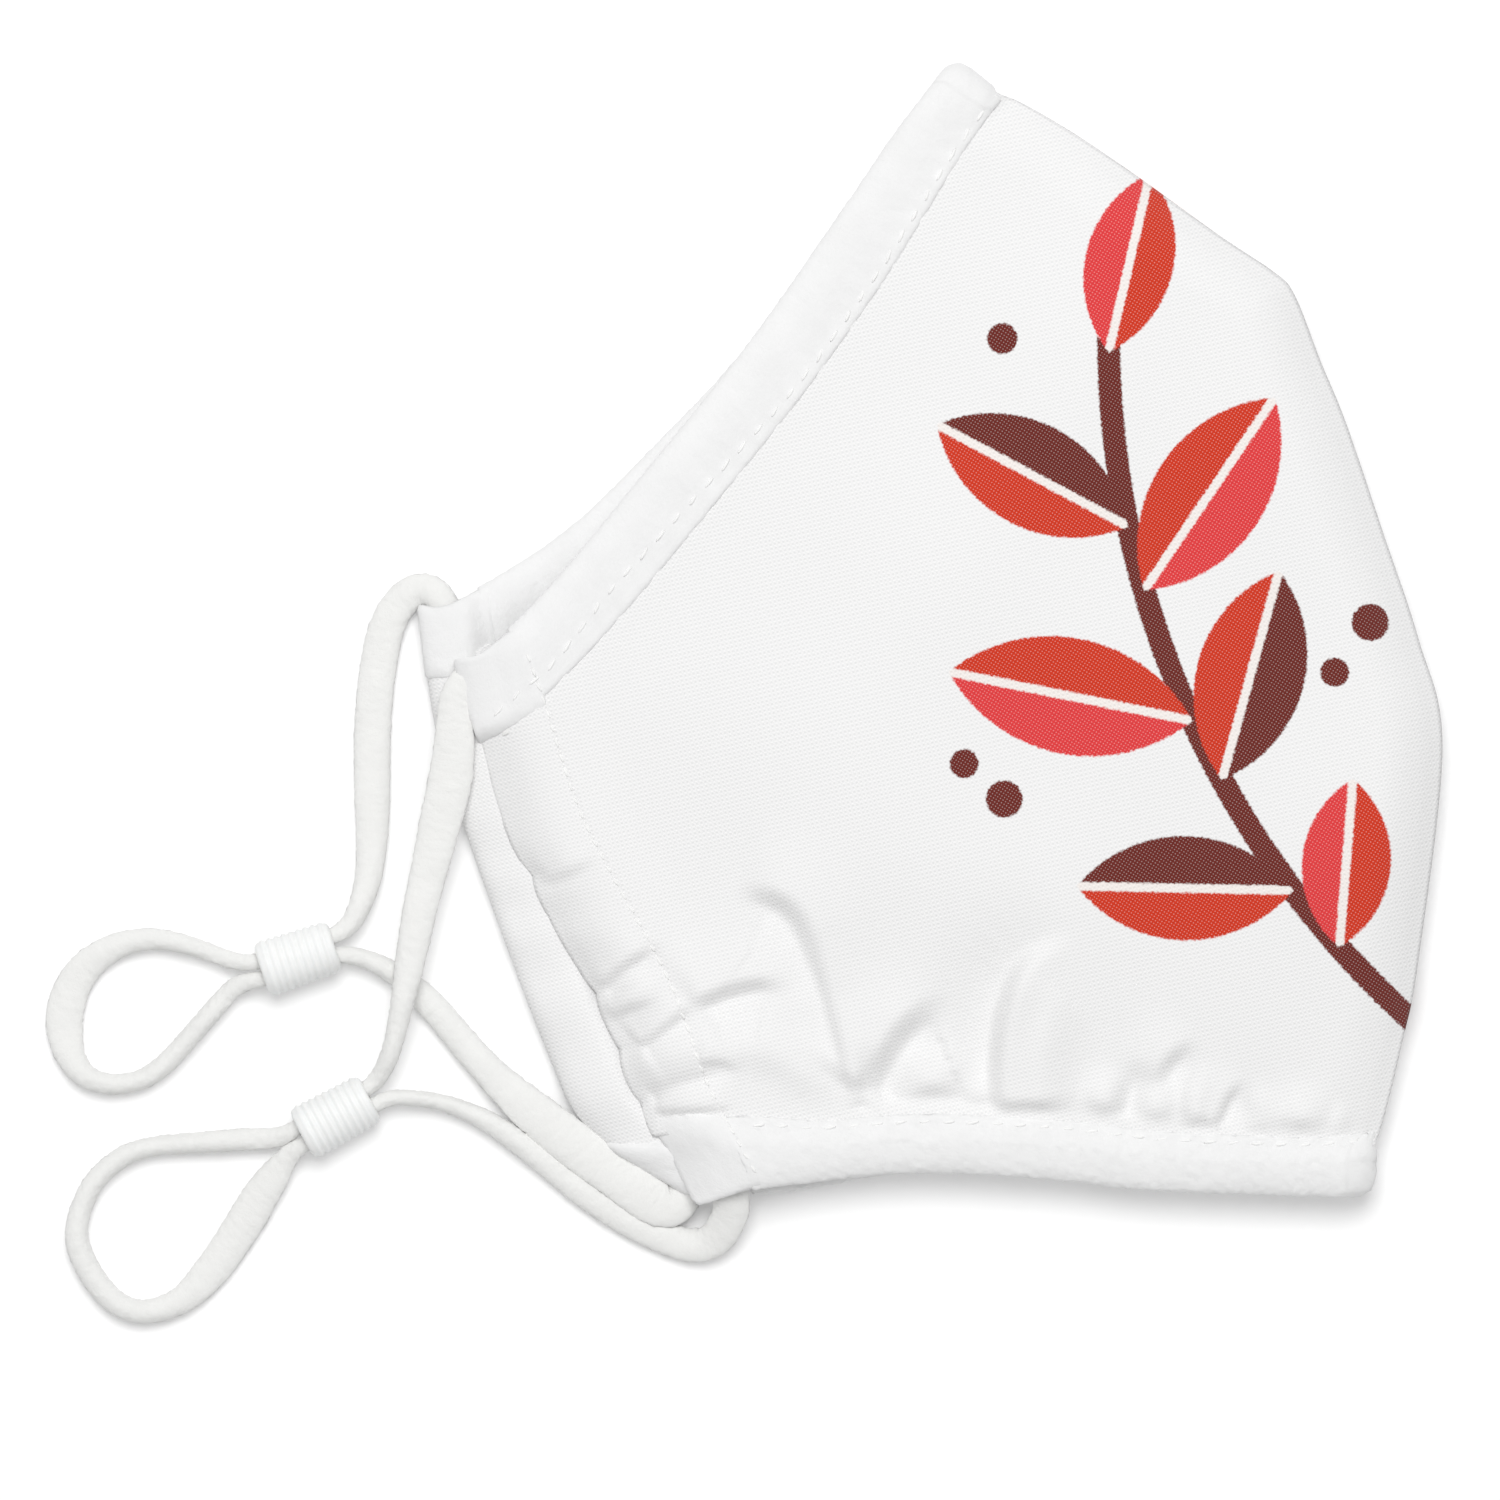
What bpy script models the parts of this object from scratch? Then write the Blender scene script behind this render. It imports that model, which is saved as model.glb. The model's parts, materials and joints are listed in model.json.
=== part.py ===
"""Reusable two-layer cloth face mask, folded flat along its front seam.

The wearer's left half lies underneath and the right half on top. Each half has an outer panel,
a lining, a top hem, a bottom binding, an ear casing, an elastic ear cord and a cord adjuster.
One nose wire runs through both top hems. Units are metres, +Z is up, the mask lies on z = 0.
"""
import math

import bmesh
import bpy
from mathutils import Matrix, Vector

MM = 0.001

# Cloth and clearances
OUTER_CLOTH = 0.0004
LINING_CLOTH = 0.0005
LAYER_GAP = 0.0003
STRIP_CLOTH = 0.0006
CASING_CLOTH = 0.0004
FIT = 0.0003
PART_GAP = 0.0003
SEAM_GAP = 0.0003

# Sewn strips
HEM_WIDTH = 0.0087
BINDING_WIDTH = 0.0076
CASING_WIDTH = 0.0095
STRIP_OVERLAP = 0.0030
FOLD_BORE = 0.00055
CASING_WRINKLE = 0.00025
CASING_WRINKLES = 11

# Elastic ear cords
CORD_DIAMETER = 0.0034
CORD_PINCHED = 0.0020
CORD_PINCH_LENGTH = 0.0060
CORD_INSET = 0.0036

# Silicone cord adjusters
ADJUSTER_LENGTH = 0.0097
ADJUSTER_DIAMETER = 0.0068
ADJUSTER_RIBS = 8
ADJUSTER_RIB_DEPTH = 0.00045
ADJUSTER_END_RIM = 0.0010
ADJUSTER_END_CHAMFER = 0.0005
LEFT_ADJUSTER = (-79.3 * MM, -41.2 * MM, math.radians(16.5))
RIGHT_ADJUSTER = (-74.8 * MM, -60.7 * MM, math.radians(29.6))

# Nose wire
WIRE_WIDTH = 0.0034
WIRE_THICKNESS = 0.0009
WIRE_ARM = 0.0450

# Rise of the cloth between the strips
CROWN = 0.0026
CROWN_RAMP = 0.0340
STRIP_RAMP = 0.0070
SEAM_ROLL = 0.0085
FOLD_RISE = 0.0200

# Outline of the finished halves, in millimetres, as laid on the table
NOSE = (1.0, 68.2)
CHIN = (52.4, -70.5)
FRONT_SEAM = [CHIN, (55.6, -63.0), (60.2, -41.2), (64.0, -14.5), (60.4, -1.1), (51.7, 25.8),
              (45.8, 41.6), (41.0, 46.0), (24.8, 57.0), (8.6, 65.4), NOSE]
EAR_FOOT = (-30.2, -70.6)
BOTTOM_EDGE = [EAR_FOOT, (-15.8, -68.7), (-1.8, -67.4), (14.8, -68.2), (27.7, -69.6), CHIN]
TOP_AT_NOSE = [(-22.7, 36.4), (-10.2, 53.8), NOSE]
RIGHT_TOP_EDGE = [(-59.6, -3.6), (-55.6, -2.4), (-47.7, 5.1), (-35.2, 20.1)] + TOP_AT_NOSE
LEFT_TOP_EDGE = [(-64.1, 3.2), (-59.6, 4.0), (-46.4, 12.0), (-35.2, 22.4)] + TOP_AT_NOSE
RIGHT_EAR_EDGE = [EAR_FOOT, (-37.1, -59.2), (-42.3, -46.1), (-52.2, -27.6), (-56.7, -13.0), RIGHT_TOP_EDGE[0]]
LEFT_EAR_EDGE = [EAR_FOOT, (-42.7, -62.4), (-48.1, -52.4), (-57.2, -28.0), (-61.8, -13.0), LEFT_TOP_EDGE[0]]

# Folds that the stretched binding draws in the cloth: place along the bottom edge (0 to 1),
# reach up the panel, sideways lean at the top, height and half width
GATHERS = [
    (0.14, 0.018, -0.0060, 0.0012, 0.0030),
    (0.25, 0.032, -0.0130, 0.0024, 0.0034),
    (0.36, 0.020, 0.0050, 0.0020, 0.0032),
    (0.48, 0.028, 0.0060, 0.0024, 0.0034),
    (0.60, 0.018, 0.0020, 0.0015, 0.0030),
    (0.71, 0.018, 0.0030, 0.0017, 0.0030),
    (0.84, 0.013, 0.0000, 0.0012, 0.0030),
]
GATHER_START = 0.0050
PRESSED_GATHERS = 0.35

# Free stretches of the ear cords: x and y in millimetres, then the lift off the table
LEFT_UPPER_STRAND = [(-60.9, 5.6, 0.9), (-63.4, 7.0, 0.6), (-66.2, 5.4, 0.4), (-68.1, 2.0, 0.2),
                     (-69.3, -3.6, 0.1), (-70.1, -11.1, 0.1), (-70.2, -18.6, 0.1), (-70.1, -24.9, 0.1),
                     (-70.6, -30.5, 0.3), (-71.7, -34.9, 0.9), (-73.1, -37.6, 1.5)]
LEFT_TAIL = [(-87.1, -40.9, 1.4), (-89.7, -39.8, 0.9), (-93.9, -39.1, 0.3), (-97.7, -39.1, 0.1),
             (-101.4, -39.5, 0.1), (-104.9, -41.1, 0.1), (-107.5, -44.2, 0.1), (-108.6, -48.0, 0.1),
             (-108.2, -52.4, 0.1), (-106.2, -55.5, 0.1), (-102.4, -56.8, 0.1), (-98.7, -55.9, 0.1),
             (-95.2, -53.0, 0.1), (-92.1, -49.3, 0.4), (-89.0, -46.2, 0.9), (-86.5, -44.1, 1.4)]
LEFT_LOWER_STRAND = [(-71.8, -40.7, 1.4), (-68.8, -42.3, 0.5), (-65.8, -44.9, 0.1), (-62.7, -47.6, 0.1),
                     (-58.3, -51.5, 0.1), (-53.9, -56.1, 0.1), (-47.7, -62.1, 0.1), (-42.0, -67.2, 0.1),
                     (-37.2, -71.0, 0.1), (-33.6, -73.1, 0.2), (-30.6, -73.7, 0.4), (-28.5, -72.4, 0.6),
                     (-28.1, -70.2, 0.8)]
RIGHT_UPPER_STRAND = [(-55.9, -3.9, 6.3), (-58.5, -2.5, 6.3), (-61.0, -4.4, 6.2), (-61.2, -8.4, 5.9),
                      (-60.4, -13.6, 5.4), (-60.7, -18.6, 5.2), (-61.6, -24.9, 4.9), (-62.8, -29.9, 4.6),
                      (-63.9, -34.9, 4.4), (-64.9, -39.9, 4.2), (-65.8, -44.9, 4.1), (-66.8, -49.9, 3.4),
                      (-68.1, -53.6, 2.4), (-69.6, -56.3, 1.8)]
RIGHT_TAIL = [(-82.8, -63.6, 1.4), (-87.7, -64.2, 0.5), (-92.7, -64.9, 0.1), (-97.7, -65.4, 0.1),
              (-101.4, -66.7, 0.1), (-104.6, -69.5, 0.1), (-106.4, -72.6, 0.1), (-106.9, -75.9, 0.1),
              (-105.9, -79.6, 0.1), (-103.3, -83.2, 0.1), (-99.6, -85.4, 0.1), (-95.8, -85.0, 0.1),
              (-92.1, -82.5, 0.1), (-88.7, -78.6, 0.1), (-85.4, -73.4, 0.3), (-82.6, -68.8, 0.8),
              (-80.6, -65.6, 1.4)]
RIGHT_LOWER_STRAND = [(-67.7, -58.6, 1.4), (-63.9, -58.7, 0.5), (-60.2, -59.2, 0.1), (-56.4, -60.8, 0.1),
                      (-51.4, -64.8, 0.1), (-46.4, -69.6, 0.1), (-40.2, -74.7, 0.1), (-34.6, -77.6, 0.6),
                      (-30.2, -78.2, 1.8), (-27.0, -77.0, 3.6), (-25.2, -74.4, 5.3), (-25.3, -71.5, 6.2)]

# Where each casing stops short of the finished corners, top then bottom
LEFT_CASING_SETBACK = (0.0, 0.0032)
RIGHT_CASING_SETBACK = (0.0052, 0.0)

# Sizes that follow from the values above
HALF_SANDWICH = LAYER_GAP / 2 + max(OUTER_CLOTH, LINING_CLOTH)
STRIP_HALF = HALF_SANDWICH + FIT + STRIP_CLOTH
CASING_TIP_HALF = HALF_SANDWICH + FIT + CASING_CLOTH
CASING_HALF = CORD_DIAMETER / 2 + FIT + CASING_WRINKLE + CASING_CLOTH
CASING_HEIGHT = CASING_HALF + PART_GAP / 2
PART_PLANE = 2 * CASING_HALF + PART_GAP / 2
FOLD_HEIGHT = STRIP_HALF + FOLD_BORE + PART_GAP / 2
SEAM_HEIGHT = HALF_SANDWICH + PART_GAP
TABLE_HEIGHT = PART_PLANE - STRIP_HALF
WIRE_INSET = (STRIP_CLOTH + HEM_WIDTH - STRIP_OVERLAP) / 2
SLOT_HEIGHT = CORD_PINCHED + 2 * FIT
STRAND_OFFSET = (CORD_PINCHED + FIT) / 2
SLOT_WIDTH = 2 * STRAND_OFFSET + SLOT_HEIGHT


def smooth(t):
    """Ease from 0 to 1 while t runs from 0 to 1."""
    t = min(max(t, 0.0), 1.0)
    return t * t * (3.0 - 2.0 * t)


def mix(a, b, t):
    return a + (b - a) * t


def rounded_path(points, count, closed=False):
    """Points spaced evenly along a smooth curve through the given points."""
    last = len(points) - 1
    dense = []
    for i in range(last + 1 if closed else last):
        p1 = points[i]
        p2 = points[(i + 1) % (last + 1)]
        p0 = points[i - 1] if closed or i > 0 else p1 + (p1 - p2)
        p3 = points[(i + 2) % (last + 1)] if closed or i + 2 <= last else p2 + (p2 - p1)
        for k in range(16):
            t = k / 16
            dense.append(0.5 * (2 * p1 + (p2 - p0) * t + (2 * p0 - 5 * p1 + 4 * p2 - p3) * t * t
                                + (3 * p1 - p0 - 3 * p2 + p3) * t ** 3))
    dense.append(points[0] if closed else points[last])
    travelled = [0.0]
    for a, b in zip(dense, dense[1:]):
        travelled.append(travelled[-1] + (b - a).length)
    result = []
    k = 0
    for i in range(count + 1):
        target = travelled[-1] * i / count
        while k < len(dense) - 2 and travelled[k + 1] < target:
            k += 1
        span = max(travelled[k + 1] - travelled[k], 1e-9)
        result.append(dense[k].lerp(dense[k + 1], (target - travelled[k]) / span))
    return result


class Edge:
    """One side of a half's outline, read by its share of length."""

    SAMPLES = 120

    def __init__(self, outline):
        self.points = rounded_path([Vector(p) * MM for p in outline], self.SAMPLES)

    def at(self, t):
        place = min(max(t, 0.0), 1.0) * self.SAMPLES
        k = min(int(place), self.SAMPLES - 1)
        return self.points[k].lerp(self.points[k + 1], place - k)


class Half:
    """One half of the mask: a four-sided patch (u from ear to seam, v from bottom to top)."""

    def __init__(self, name, side, top, ear, setback, gather_scale):
        self.name = name
        self.side = side
        self.top = Edge(top)
        self.ear = Edge(ear)
        self.front = Edge(FRONT_SEAM)
        self.bottom = Edge(BOTTOM_EDGE)
        self.setback = setback
        self.gather_scale = gather_scale
        self.lengths = {}

    def plan(self, u, v):
        """Place on the table of patch point (u, v)."""
        sides = (self.bottom.at(u) * (1 - v) + self.top.at(u) * v
                 + self.ear.at(v) * (1 - u) + self.front.at(v) * u)
        corners = ((self.bottom.at(0) * (1 - u) + self.bottom.at(1) * u) * (1 - v)
                   + (self.top.at(0) * (1 - u) + self.top.at(1) * u) * v)
        return sides - corners

    def length(self, axis, t):
        """Length of the patch across at u = t (axis u) or along at v = t (axis v)."""
        key = (axis, round(t, 4))
        if key not in self.lengths:
            steps = [i / 12 for i in range(13)]
            line = [self.plan(t, s) if axis == "u" else self.plan(s, t) for s in steps]
            self.lengths[key] = sum((b - a).length for a, b in zip(line, line[1:]))
        return self.lengths[key]

    def height(self, u, v):
        """Height of the middle of the cloth away from the plane between the halves."""
        across = self.length("u", u)
        along = self.length("v", v)
        from_top = (1 - v) * across - HEM_WIDTH
        from_bottom = v * across - BINDING_WIDTH
        from_ear = u * along - CASING_WIDTH
        from_seam = (1 - u) * along
        if self.side > 0:
            strip = FOLD_HEIGHT
            field = strip + CROWN * (smooth(from_top / CROWN_RAMP) * smooth(from_bottom / CROWN_RAMP)
                                     * smooth(from_ear / CROWN_RAMP))
        else:
            strip = mix(FOLD_HEIGHT, TABLE_HEIGHT, smooth(from_seam / FOLD_RISE))
            field = TABLE_HEIGHT
        field += self.gather_scale * self.gather(u, from_bottom, along)
        roll = math.sin(math.pi / 2 * min(1.0, from_seam / SEAM_ROLL))
        field = mix(SEAM_HEIGHT, field, roll)
        near_strip = 1 - smooth(min(from_top, from_bottom) / STRIP_RAMP)
        near_casing = 1 - smooth(from_ear / STRIP_RAMP)
        return mix(mix(field, strip, near_strip), CASING_HEIGHT, near_casing)

    def gather(self, u, rise, along):
        """Height that the gathered folds add at a rise above the binding."""
        total = 0.0
        for place, reach, lean, tall, half_width in GATHERS:
            if 0.0 < rise < reach:
                centre = place + lean * (rise / reach) ** 2 / along
                across = (u - centre) * along / half_width
                fade = smooth(rise / GATHER_START) * (1 - smooth(rise / reach))
                total += tall * fade * math.exp(-across * across)
        return total

    def point(self, u, v, offset=0.0):
        """World point of the patch, moved away from the other half by an offset."""
        flat = self.plan(u, v)
        return Vector((flat.x, flat.y, PART_PLANE + self.side * (self.height(u, v) + offset)))


def new_object(name, data, material, parent, collection):
    """Link an object under its body's empty, keeping its place in the world."""
    obj = bpy.data.objects.new(name, data)
    collection.objects.link(obj)
    obj.parent = parent
    if parent is not None:
        obj.matrix_parent_inverse = parent.matrix_world.inverted()
    if material is not None:
        data.materials.append(material)
    return obj


def make_material(name, colour, roughness):
    material = bpy.data.materials.new(name)
    material.use_nodes = True
    shader = material.node_tree.nodes["Principled BSDF"]
    shader.inputs["Base Color"].default_value = (*colour, 1.0)
    shader.inputs["Roughness"].default_value = roughness
    shader.inputs["Metallic"].default_value = 0.0
    return material


def loft_mesh(name, sections):
    """Closed solid through sections whose shape changes along the way, with both ends capped."""
    bm = bmesh.new()
    rings = [[bm.verts.new(p) for p in section] for section in sections]
    count = len(rings[0])
    for ring, after in zip(rings, rings[1:]):
        for i in range(count):
            j = (i + 1) % count
            bm.faces.new((ring[i], ring[j], after[j], after[i]))
    for ring in (rings[0], rings[-1]):
        for i in range(count // 2 - 1):
            bm.faces.new((ring[i], ring[i + 1], ring[count - 2 - i], ring[count - 1 - i]))
    bmesh.ops.recalc_face_normals(bm, faces=bm.faces)
    mesh = bpy.data.meshes.new(name)
    bm.to_mesh(mesh)
    bm.free()
    return mesh


def strip_section(width, wall, half, tip_half):
    """Outline of a strip folded over an edge: distance in from the fold and height, in order."""
    nose = half
    outer = [(width, tip_half), (width * 0.62, mix(half, tip_half, 0.15)), (nose, half),
             (nose * 0.29, half * 0.71), (0.0, 0.0)]
    inner_half = half - wall
    inner_tip = tip_half - wall
    inner = [(width, inner_tip), (width * 0.62, mix(inner_half, inner_tip, 0.15)),
             (nose, inner_half), (wall + inner_half * 0.22, inner_half * 0.62), (wall, 0.0)]
    outline = outer + [(s, -t) for s, t in outer[-2::-1]]
    cavity = inner + [(s, -t) for s, t in inner[-2::-1]]
    return outline + cavity[::-1]


def fold_end(half, edge_v, tangent, inset, lift, angle):
    """Point of a strip on the turn at the seam, an angle round towards the other half."""
    v = edge_v(1.0, inset)
    base = half.plan(1.0, v)
    radius = half.height(1.0, v) - PART_GAP / 2
    reach = (radius + lift) * math.sin(angle)
    rise = (radius + lift) * math.cos(angle) + PART_GAP / 2
    return Vector((base.x + tangent.x * reach, base.y + tangent.y * reach, PART_PLANE + half.side * rise))


def along_edge(half, upper):
    """Patch v for a distance in from the top edge (upper) or the bottom edge."""
    def edge_v(u, inset):
        share = inset / half.length("u", u)
        return 1 - share if upper else share
    return edge_v


def fold_tangent(half, upper):
    """Level direction in which a strip runs into its fold at the seam."""
    edge = half.top if upper else half.bottom
    return (edge.at(1.0) - edge.at(0.97)).normalized()


def strip_stations(half, upper, start_u, steps, section):
    """Sections of a strip from a start to the seam and round its turn."""
    edge_v = along_edge(half, upper)
    tangent = fold_tangent(half, upper)
    sections = []
    for i in range(steps + 1):
        u = mix(start_u, 1.0, i / steps)
        sections.append([half.point(u, edge_v(u, s), t) for s, t in section])
    for angle in (30, 60, 90):
        turn = math.radians(angle)
        sections.append([fold_end(half, edge_v, tangent, s, t, turn) for s, t in section])
    return sections


def edge_strip(half, upper, width, steps):
    """Cloth strip folded over the top or bottom edge, from the ear casing to the seam."""
    v_edge = 1.0 if upper else 0.0
    start_u = (CASING_WIDTH + FIT) / half.length("v", v_edge)
    section = strip_section(width, STRIP_CLOTH, STRIP_HALF, STRIP_HALF)
    return strip_stations(half, upper, start_u, steps, section)


def ear_casing(half, steps=33):
    """Turned ear edge with a channel for the cord, wrinkled where the cord draws it up."""
    length = half.length("u", 0.0)
    v_start = half.setback[1] / length
    v_end = 1 - half.setback[0] / length
    sections = []
    for i in range(steps + 1):
        share = i / steps
        v = mix(v_start, v_end, share)
        strength = 1 - smooth((share - 0.35) / 0.5)
        wave = 0.5 - 0.5 * math.cos(2 * math.pi * CASING_WRINKLES * share)
        pinch = CASING_WRINKLE * strength * wave
        section = strip_section(CASING_WIDTH, CASING_CLOTH, CASING_HALF - pinch, CASING_TIP_HALF)
        shrink = 2 * pinch
        along = half.length("v", v)
        ring = [half.point((s + shrink * (1 - s / CASING_WIDTH)) / along, v, t) for s, t in section]
        sections.append(ring)
    return sections


def panel_mesh(name, half, cells_u=30, cells_v=15):
    """Middle surface of a half's cloth, out to the edges that the strips cover."""
    bm = bmesh.new()
    bmesh.ops.create_grid(bm, x_segments=cells_u, y_segments=cells_v, size=0.5)
    for vert in bm.verts:
        column = vert.co.x + 0.5
        row = (vert.co.y + 0.5) ** 1.5
        across = half.length("u", column)
        low = (BINDING_WIDTH - STRIP_OVERLAP) / across
        high = 1 - (HEM_WIDTH - STRIP_OVERLAP) / across
        v = mix(low, high, row)
        u = mix((CASING_WIDTH - STRIP_OVERLAP) / half.length("v", v), 1.0, column)
        vert.co = half.point(u, v)
    bmesh.ops.triangulate(bm, faces=bm.faces, quad_method="FIXED")
    bmesh.ops.recalc_face_normals(bm, faces=bm.faces)
    if sum(f.normal.z for f in bm.faces) < 0:
        bmesh.ops.reverse_faces(bm, faces=bm.faces)
    mesh = bpy.data.meshes.new(name)
    bm.to_mesh(mesh)
    bm.free()
    return mesh


def add_panel(name, half, thickness, outward, material, parent, collection):
    """One cloth layer: the middle surface moved by half the layer gap, then given its thickness."""
    obj = new_object(name, panel_mesh(name, half), material, parent, collection)
    direction = half.side * outward
    shift = obj.modifiers.new("layer_place", "DISPLACE")
    shift.direction = "Z"
    shift.mid_level = 0.0
    shift.strength = direction * LAYER_GAP / 2
    shell = obj.modifiers.new("cloth_thickness", "SOLIDIFY")
    shell.thickness = thickness
    shell.offset = float(direction)
    return obj


def crease_line(half):
    """Ends of the line, past the nose fold and the chin fold, on which the right half opens."""
    reach = FOLD_HEIGHT - PART_GAP / 2 + STRIP_HALF
    nose = half.plan(1.0, along_edge(half, True)(1.0, HEM_WIDTH)) + fold_tangent(half, True) * reach
    chin = half.plan(1.0, along_edge(half, False)(1.0, BINDING_WIDTH)) + fold_tangent(half, False) * reach
    return nose, chin


def crease_cutter(name, nose, chin, towards_ear, collection):
    """Block that keeps the cloth on one side of the crease, half a seam gap clear of it."""
    direction = (nose - chin).normalized()
    away = Vector((-direction.y, direction.x)) * (1 if towards_ear else -1)
    span = 2 * (nose - chin).length
    centre = (nose + chin) / 2 + away * (span / 2 + SEAM_GAP / 2)
    bpy.ops.mesh.primitive_cube_add(size=span)
    cutter = bpy.context.object
    cutter.name = name
    cutter.location = (centre.x, centre.y, 0.0)
    cutter.rotation_euler = (0.0, 0.0, math.atan2(direction.y, direction.x))
    cutter.hide_render = True
    cutter.display_type = "WIRE"
    for owner in list(cutter.users_collection):
        owner.objects.unlink(cutter)
    collection.objects.link(cutter)
    return cutter


def keep_inside(obj, cutter):
    trim = obj.modifiers.new("crease_cut", "BOOLEAN")
    trim.operation = "INTERSECT"
    trim.solver = "EXACT"
    trim.object = cutter


def adjuster_profile():
    """Ribbed outline of the adjuster, from top to bottom on the +X side."""
    radius = ADJUSTER_DIAMETER / 2
    groove = radius - ADJUSTER_RIB_DEPTH
    top = ADJUSTER_LENGTH / 2
    profile = [(0.0, top), (groove - ADJUSTER_END_CHAMFER, top), (groove, top - ADJUSTER_END_CHAMFER)]
    pitch = (ADJUSTER_LENGTH - 2 * ADJUSTER_END_RIM) / ADJUSTER_RIBS
    for i in range(ADJUSTER_RIBS):
        start = top - ADJUSTER_END_RIM - i * pitch
        profile.append((groove, start))
        profile.append((radius, start - 0.35 * pitch))
        profile.append((radius, start - 0.65 * pitch))
    bottom = [(x, -z) for x, z in profile[2::-1]]
    return profile + [(groove, -top + ADJUSTER_END_RIM)] + bottom


def add_adjuster(name, spot, material, parent, collection, cutters):
    """Ribbed silicone barrel lying on the table, with one slot for both strands of the cord."""
    bm = bmesh.new()
    verts = [bm.verts.new((x, 0.0, z)) for x, z in adjuster_profile()]
    for a, b in zip(verts, verts[1:]):
        bm.edges.new((a, b))
    mesh = bpy.data.meshes.new(name)
    bm.to_mesh(mesh)
    bm.free()
    obj = new_object(name, mesh, material, parent, collection)
    obj.location = (spot[0], spot[1], ADJUSTER_DIAMETER / 2)
    obj.rotation_euler = (0.0, math.pi / 2, spot[2])
    turn = obj.modifiers.new("turned", "SCREW")
    turn.axis = "Z"
    turn.steps = 18
    turn.render_steps = 18
    turn.use_merge_vertices = True
    turn.merge_threshold = 0.00001
    bm = bmesh.new()
    bmesh.ops.create_cube(bm, size=1.0)
    bmesh.ops.scale(bm, vec=(SLOT_HEIGHT, SLOT_WIDTH, 2 * ADJUSTER_LENGTH), verts=bm.verts)
    upright = [e for e in bm.edges if abs(e.verts[0].co.z - e.verts[1].co.z) > ADJUSTER_LENGTH]
    bmesh.ops.bevel(bm, geom=upright, offset=SLOT_HEIGHT * 0.45, segments=3, affect="EDGES", profile=0.5)
    slot_mesh = bpy.data.meshes.new(name + "_slot")
    bm.to_mesh(slot_mesh)
    bm.free()
    slot = new_object(name + "_slot", slot_mesh, None, None, cutters)
    slot.location = obj.location
    slot.rotation_euler = obj.rotation_euler
    slot.hide_render = True
    slot.display_type = "WIRE"
    cut = obj.modifiers.new("cord_slot", "BOOLEAN")
    cut.operation = "DIFFERENCE"
    cut.solver = "EXACT"
    cut.object = slot
    return obj


def bore_ends(spot, strand):
    """Ends of one strand's straight run through an adjuster, mask end first."""
    along = Vector((math.cos(spot[2]), math.sin(spot[2]), 0.0))
    across = Vector((-along.y, along.x, 0.0))
    middle = Vector((spot[0], spot[1], ADJUSTER_DIAMETER / 2)) + across * strand * STRAND_OFFSET
    reach = along * (ADJUSTER_LENGTH / 2 + FIT)
    return [middle + reach, middle, middle - reach]


def free_points(points):
    return [Vector((x * MM, y * MM, CORD_DIAMETER / 2 + lift * MM)) for x, y, lift in points]


def cord_route(half, spot, upper, tail, lower):
    """Closed route of an ear cord: up its casing, round the free loop and back."""
    length = half.length("u", 0.0)
    v_start = half.setback[1] / length
    v_end = 1 - half.setback[0] / length
    in_casing = []
    for i in range(9):
        v = mix(v_start, v_end, i / 8)
        in_casing.append(half.point(CORD_INSET / half.length("v", v), v))
    return (in_casing + free_points(upper) + bore_ends(spot, 1) + free_points(tail)
            + bore_ends(spot, -1)[::-1] + free_points(lower))


def add_cord(name, route, spot, material, parent, collection):
    """Round elastic cord, drawn thin where it passes through the adjuster."""
    dense = rounded_path(route, 900, closed=True)[:-1]
    middle = Vector((spot[0], spot[1], ADJUSTER_DIAMETER / 2))
    kept = [dense[0]]
    heading = (dense[1] - dense[0]).normalized()
    for before, here in zip(dense, dense[1:]):
        step = (here - before).normalized()
        near = (here - middle).length < ADJUSTER_LENGTH
        spacing = CORD_PINCHED if near else 2.4 * CORD_DIAMETER
        if (here - kept[-1]).length > spacing or step.angle(heading) > math.radians(24):
            kept.append(here)
            heading = step
    curve = bpy.data.curves.new(name, "CURVE")
    curve.dimensions = "3D"
    curve.bevel_depth = CORD_DIAMETER / 2
    curve.bevel_resolution = 2
    curve.use_fill_caps = True
    spline = curve.splines.new("POLY")
    spline.points.add(len(kept) - 1)
    along = Vector((math.cos(spot[2]), math.sin(spot[2]), 0.0))
    thin = CORD_PINCHED / CORD_DIAMETER
    for item, place in zip(spline.points, kept):
        item.co = (*place, 1.0)
        offset = place - middle
        beyond = abs(offset.dot(along)) - ADJUSTER_LENGTH / 2 - FIT
        aside = (offset - along * offset.dot(along)).length
        away = max(beyond, aside - ADJUSTER_DIAMETER)
        item.radius = mix(thin, 1.0, smooth(away / CORD_PINCH_LENGTH))
    spline.use_cyclic_u = True
    return new_object(name, curve, material, parent, collection)


def wire_stations(half):
    """Sections of the nose wire in one half, from its free end to the turn at the fold."""
    section = [(WIRE_INSET - WIRE_WIDTH / 2, WIRE_THICKNESS / 2), (WIRE_INSET + WIRE_WIDTH / 2, WIRE_THICKNESS / 2),
               (WIRE_INSET + WIRE_WIDTH / 2, -WIRE_THICKNESS / 2), (WIRE_INSET - WIRE_WIDTH / 2, -WIRE_THICKNESS / 2)]
    start_u = 1 - WIRE_ARM / half.length("v", 1.0)
    return strip_stations(half, True, start_u, 10, section)


def add_empty(name, place, direction, parent, collection):
    """Empty on a body's joint axis."""
    empty = bpy.data.objects.new(name, None)
    collection.objects.link(empty)
    empty.empty_display_size = 0.01
    turn = Vector((0.0, 0.0, 1.0)).rotation_difference(direction).to_matrix().to_4x4()
    empty.matrix_world = Matrix.Translation(place) @ turn
    if parent is not None:
        empty.parent = parent
        empty.matrix_parent_inverse = parent.matrix_world.inverted()
    return empty


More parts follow.
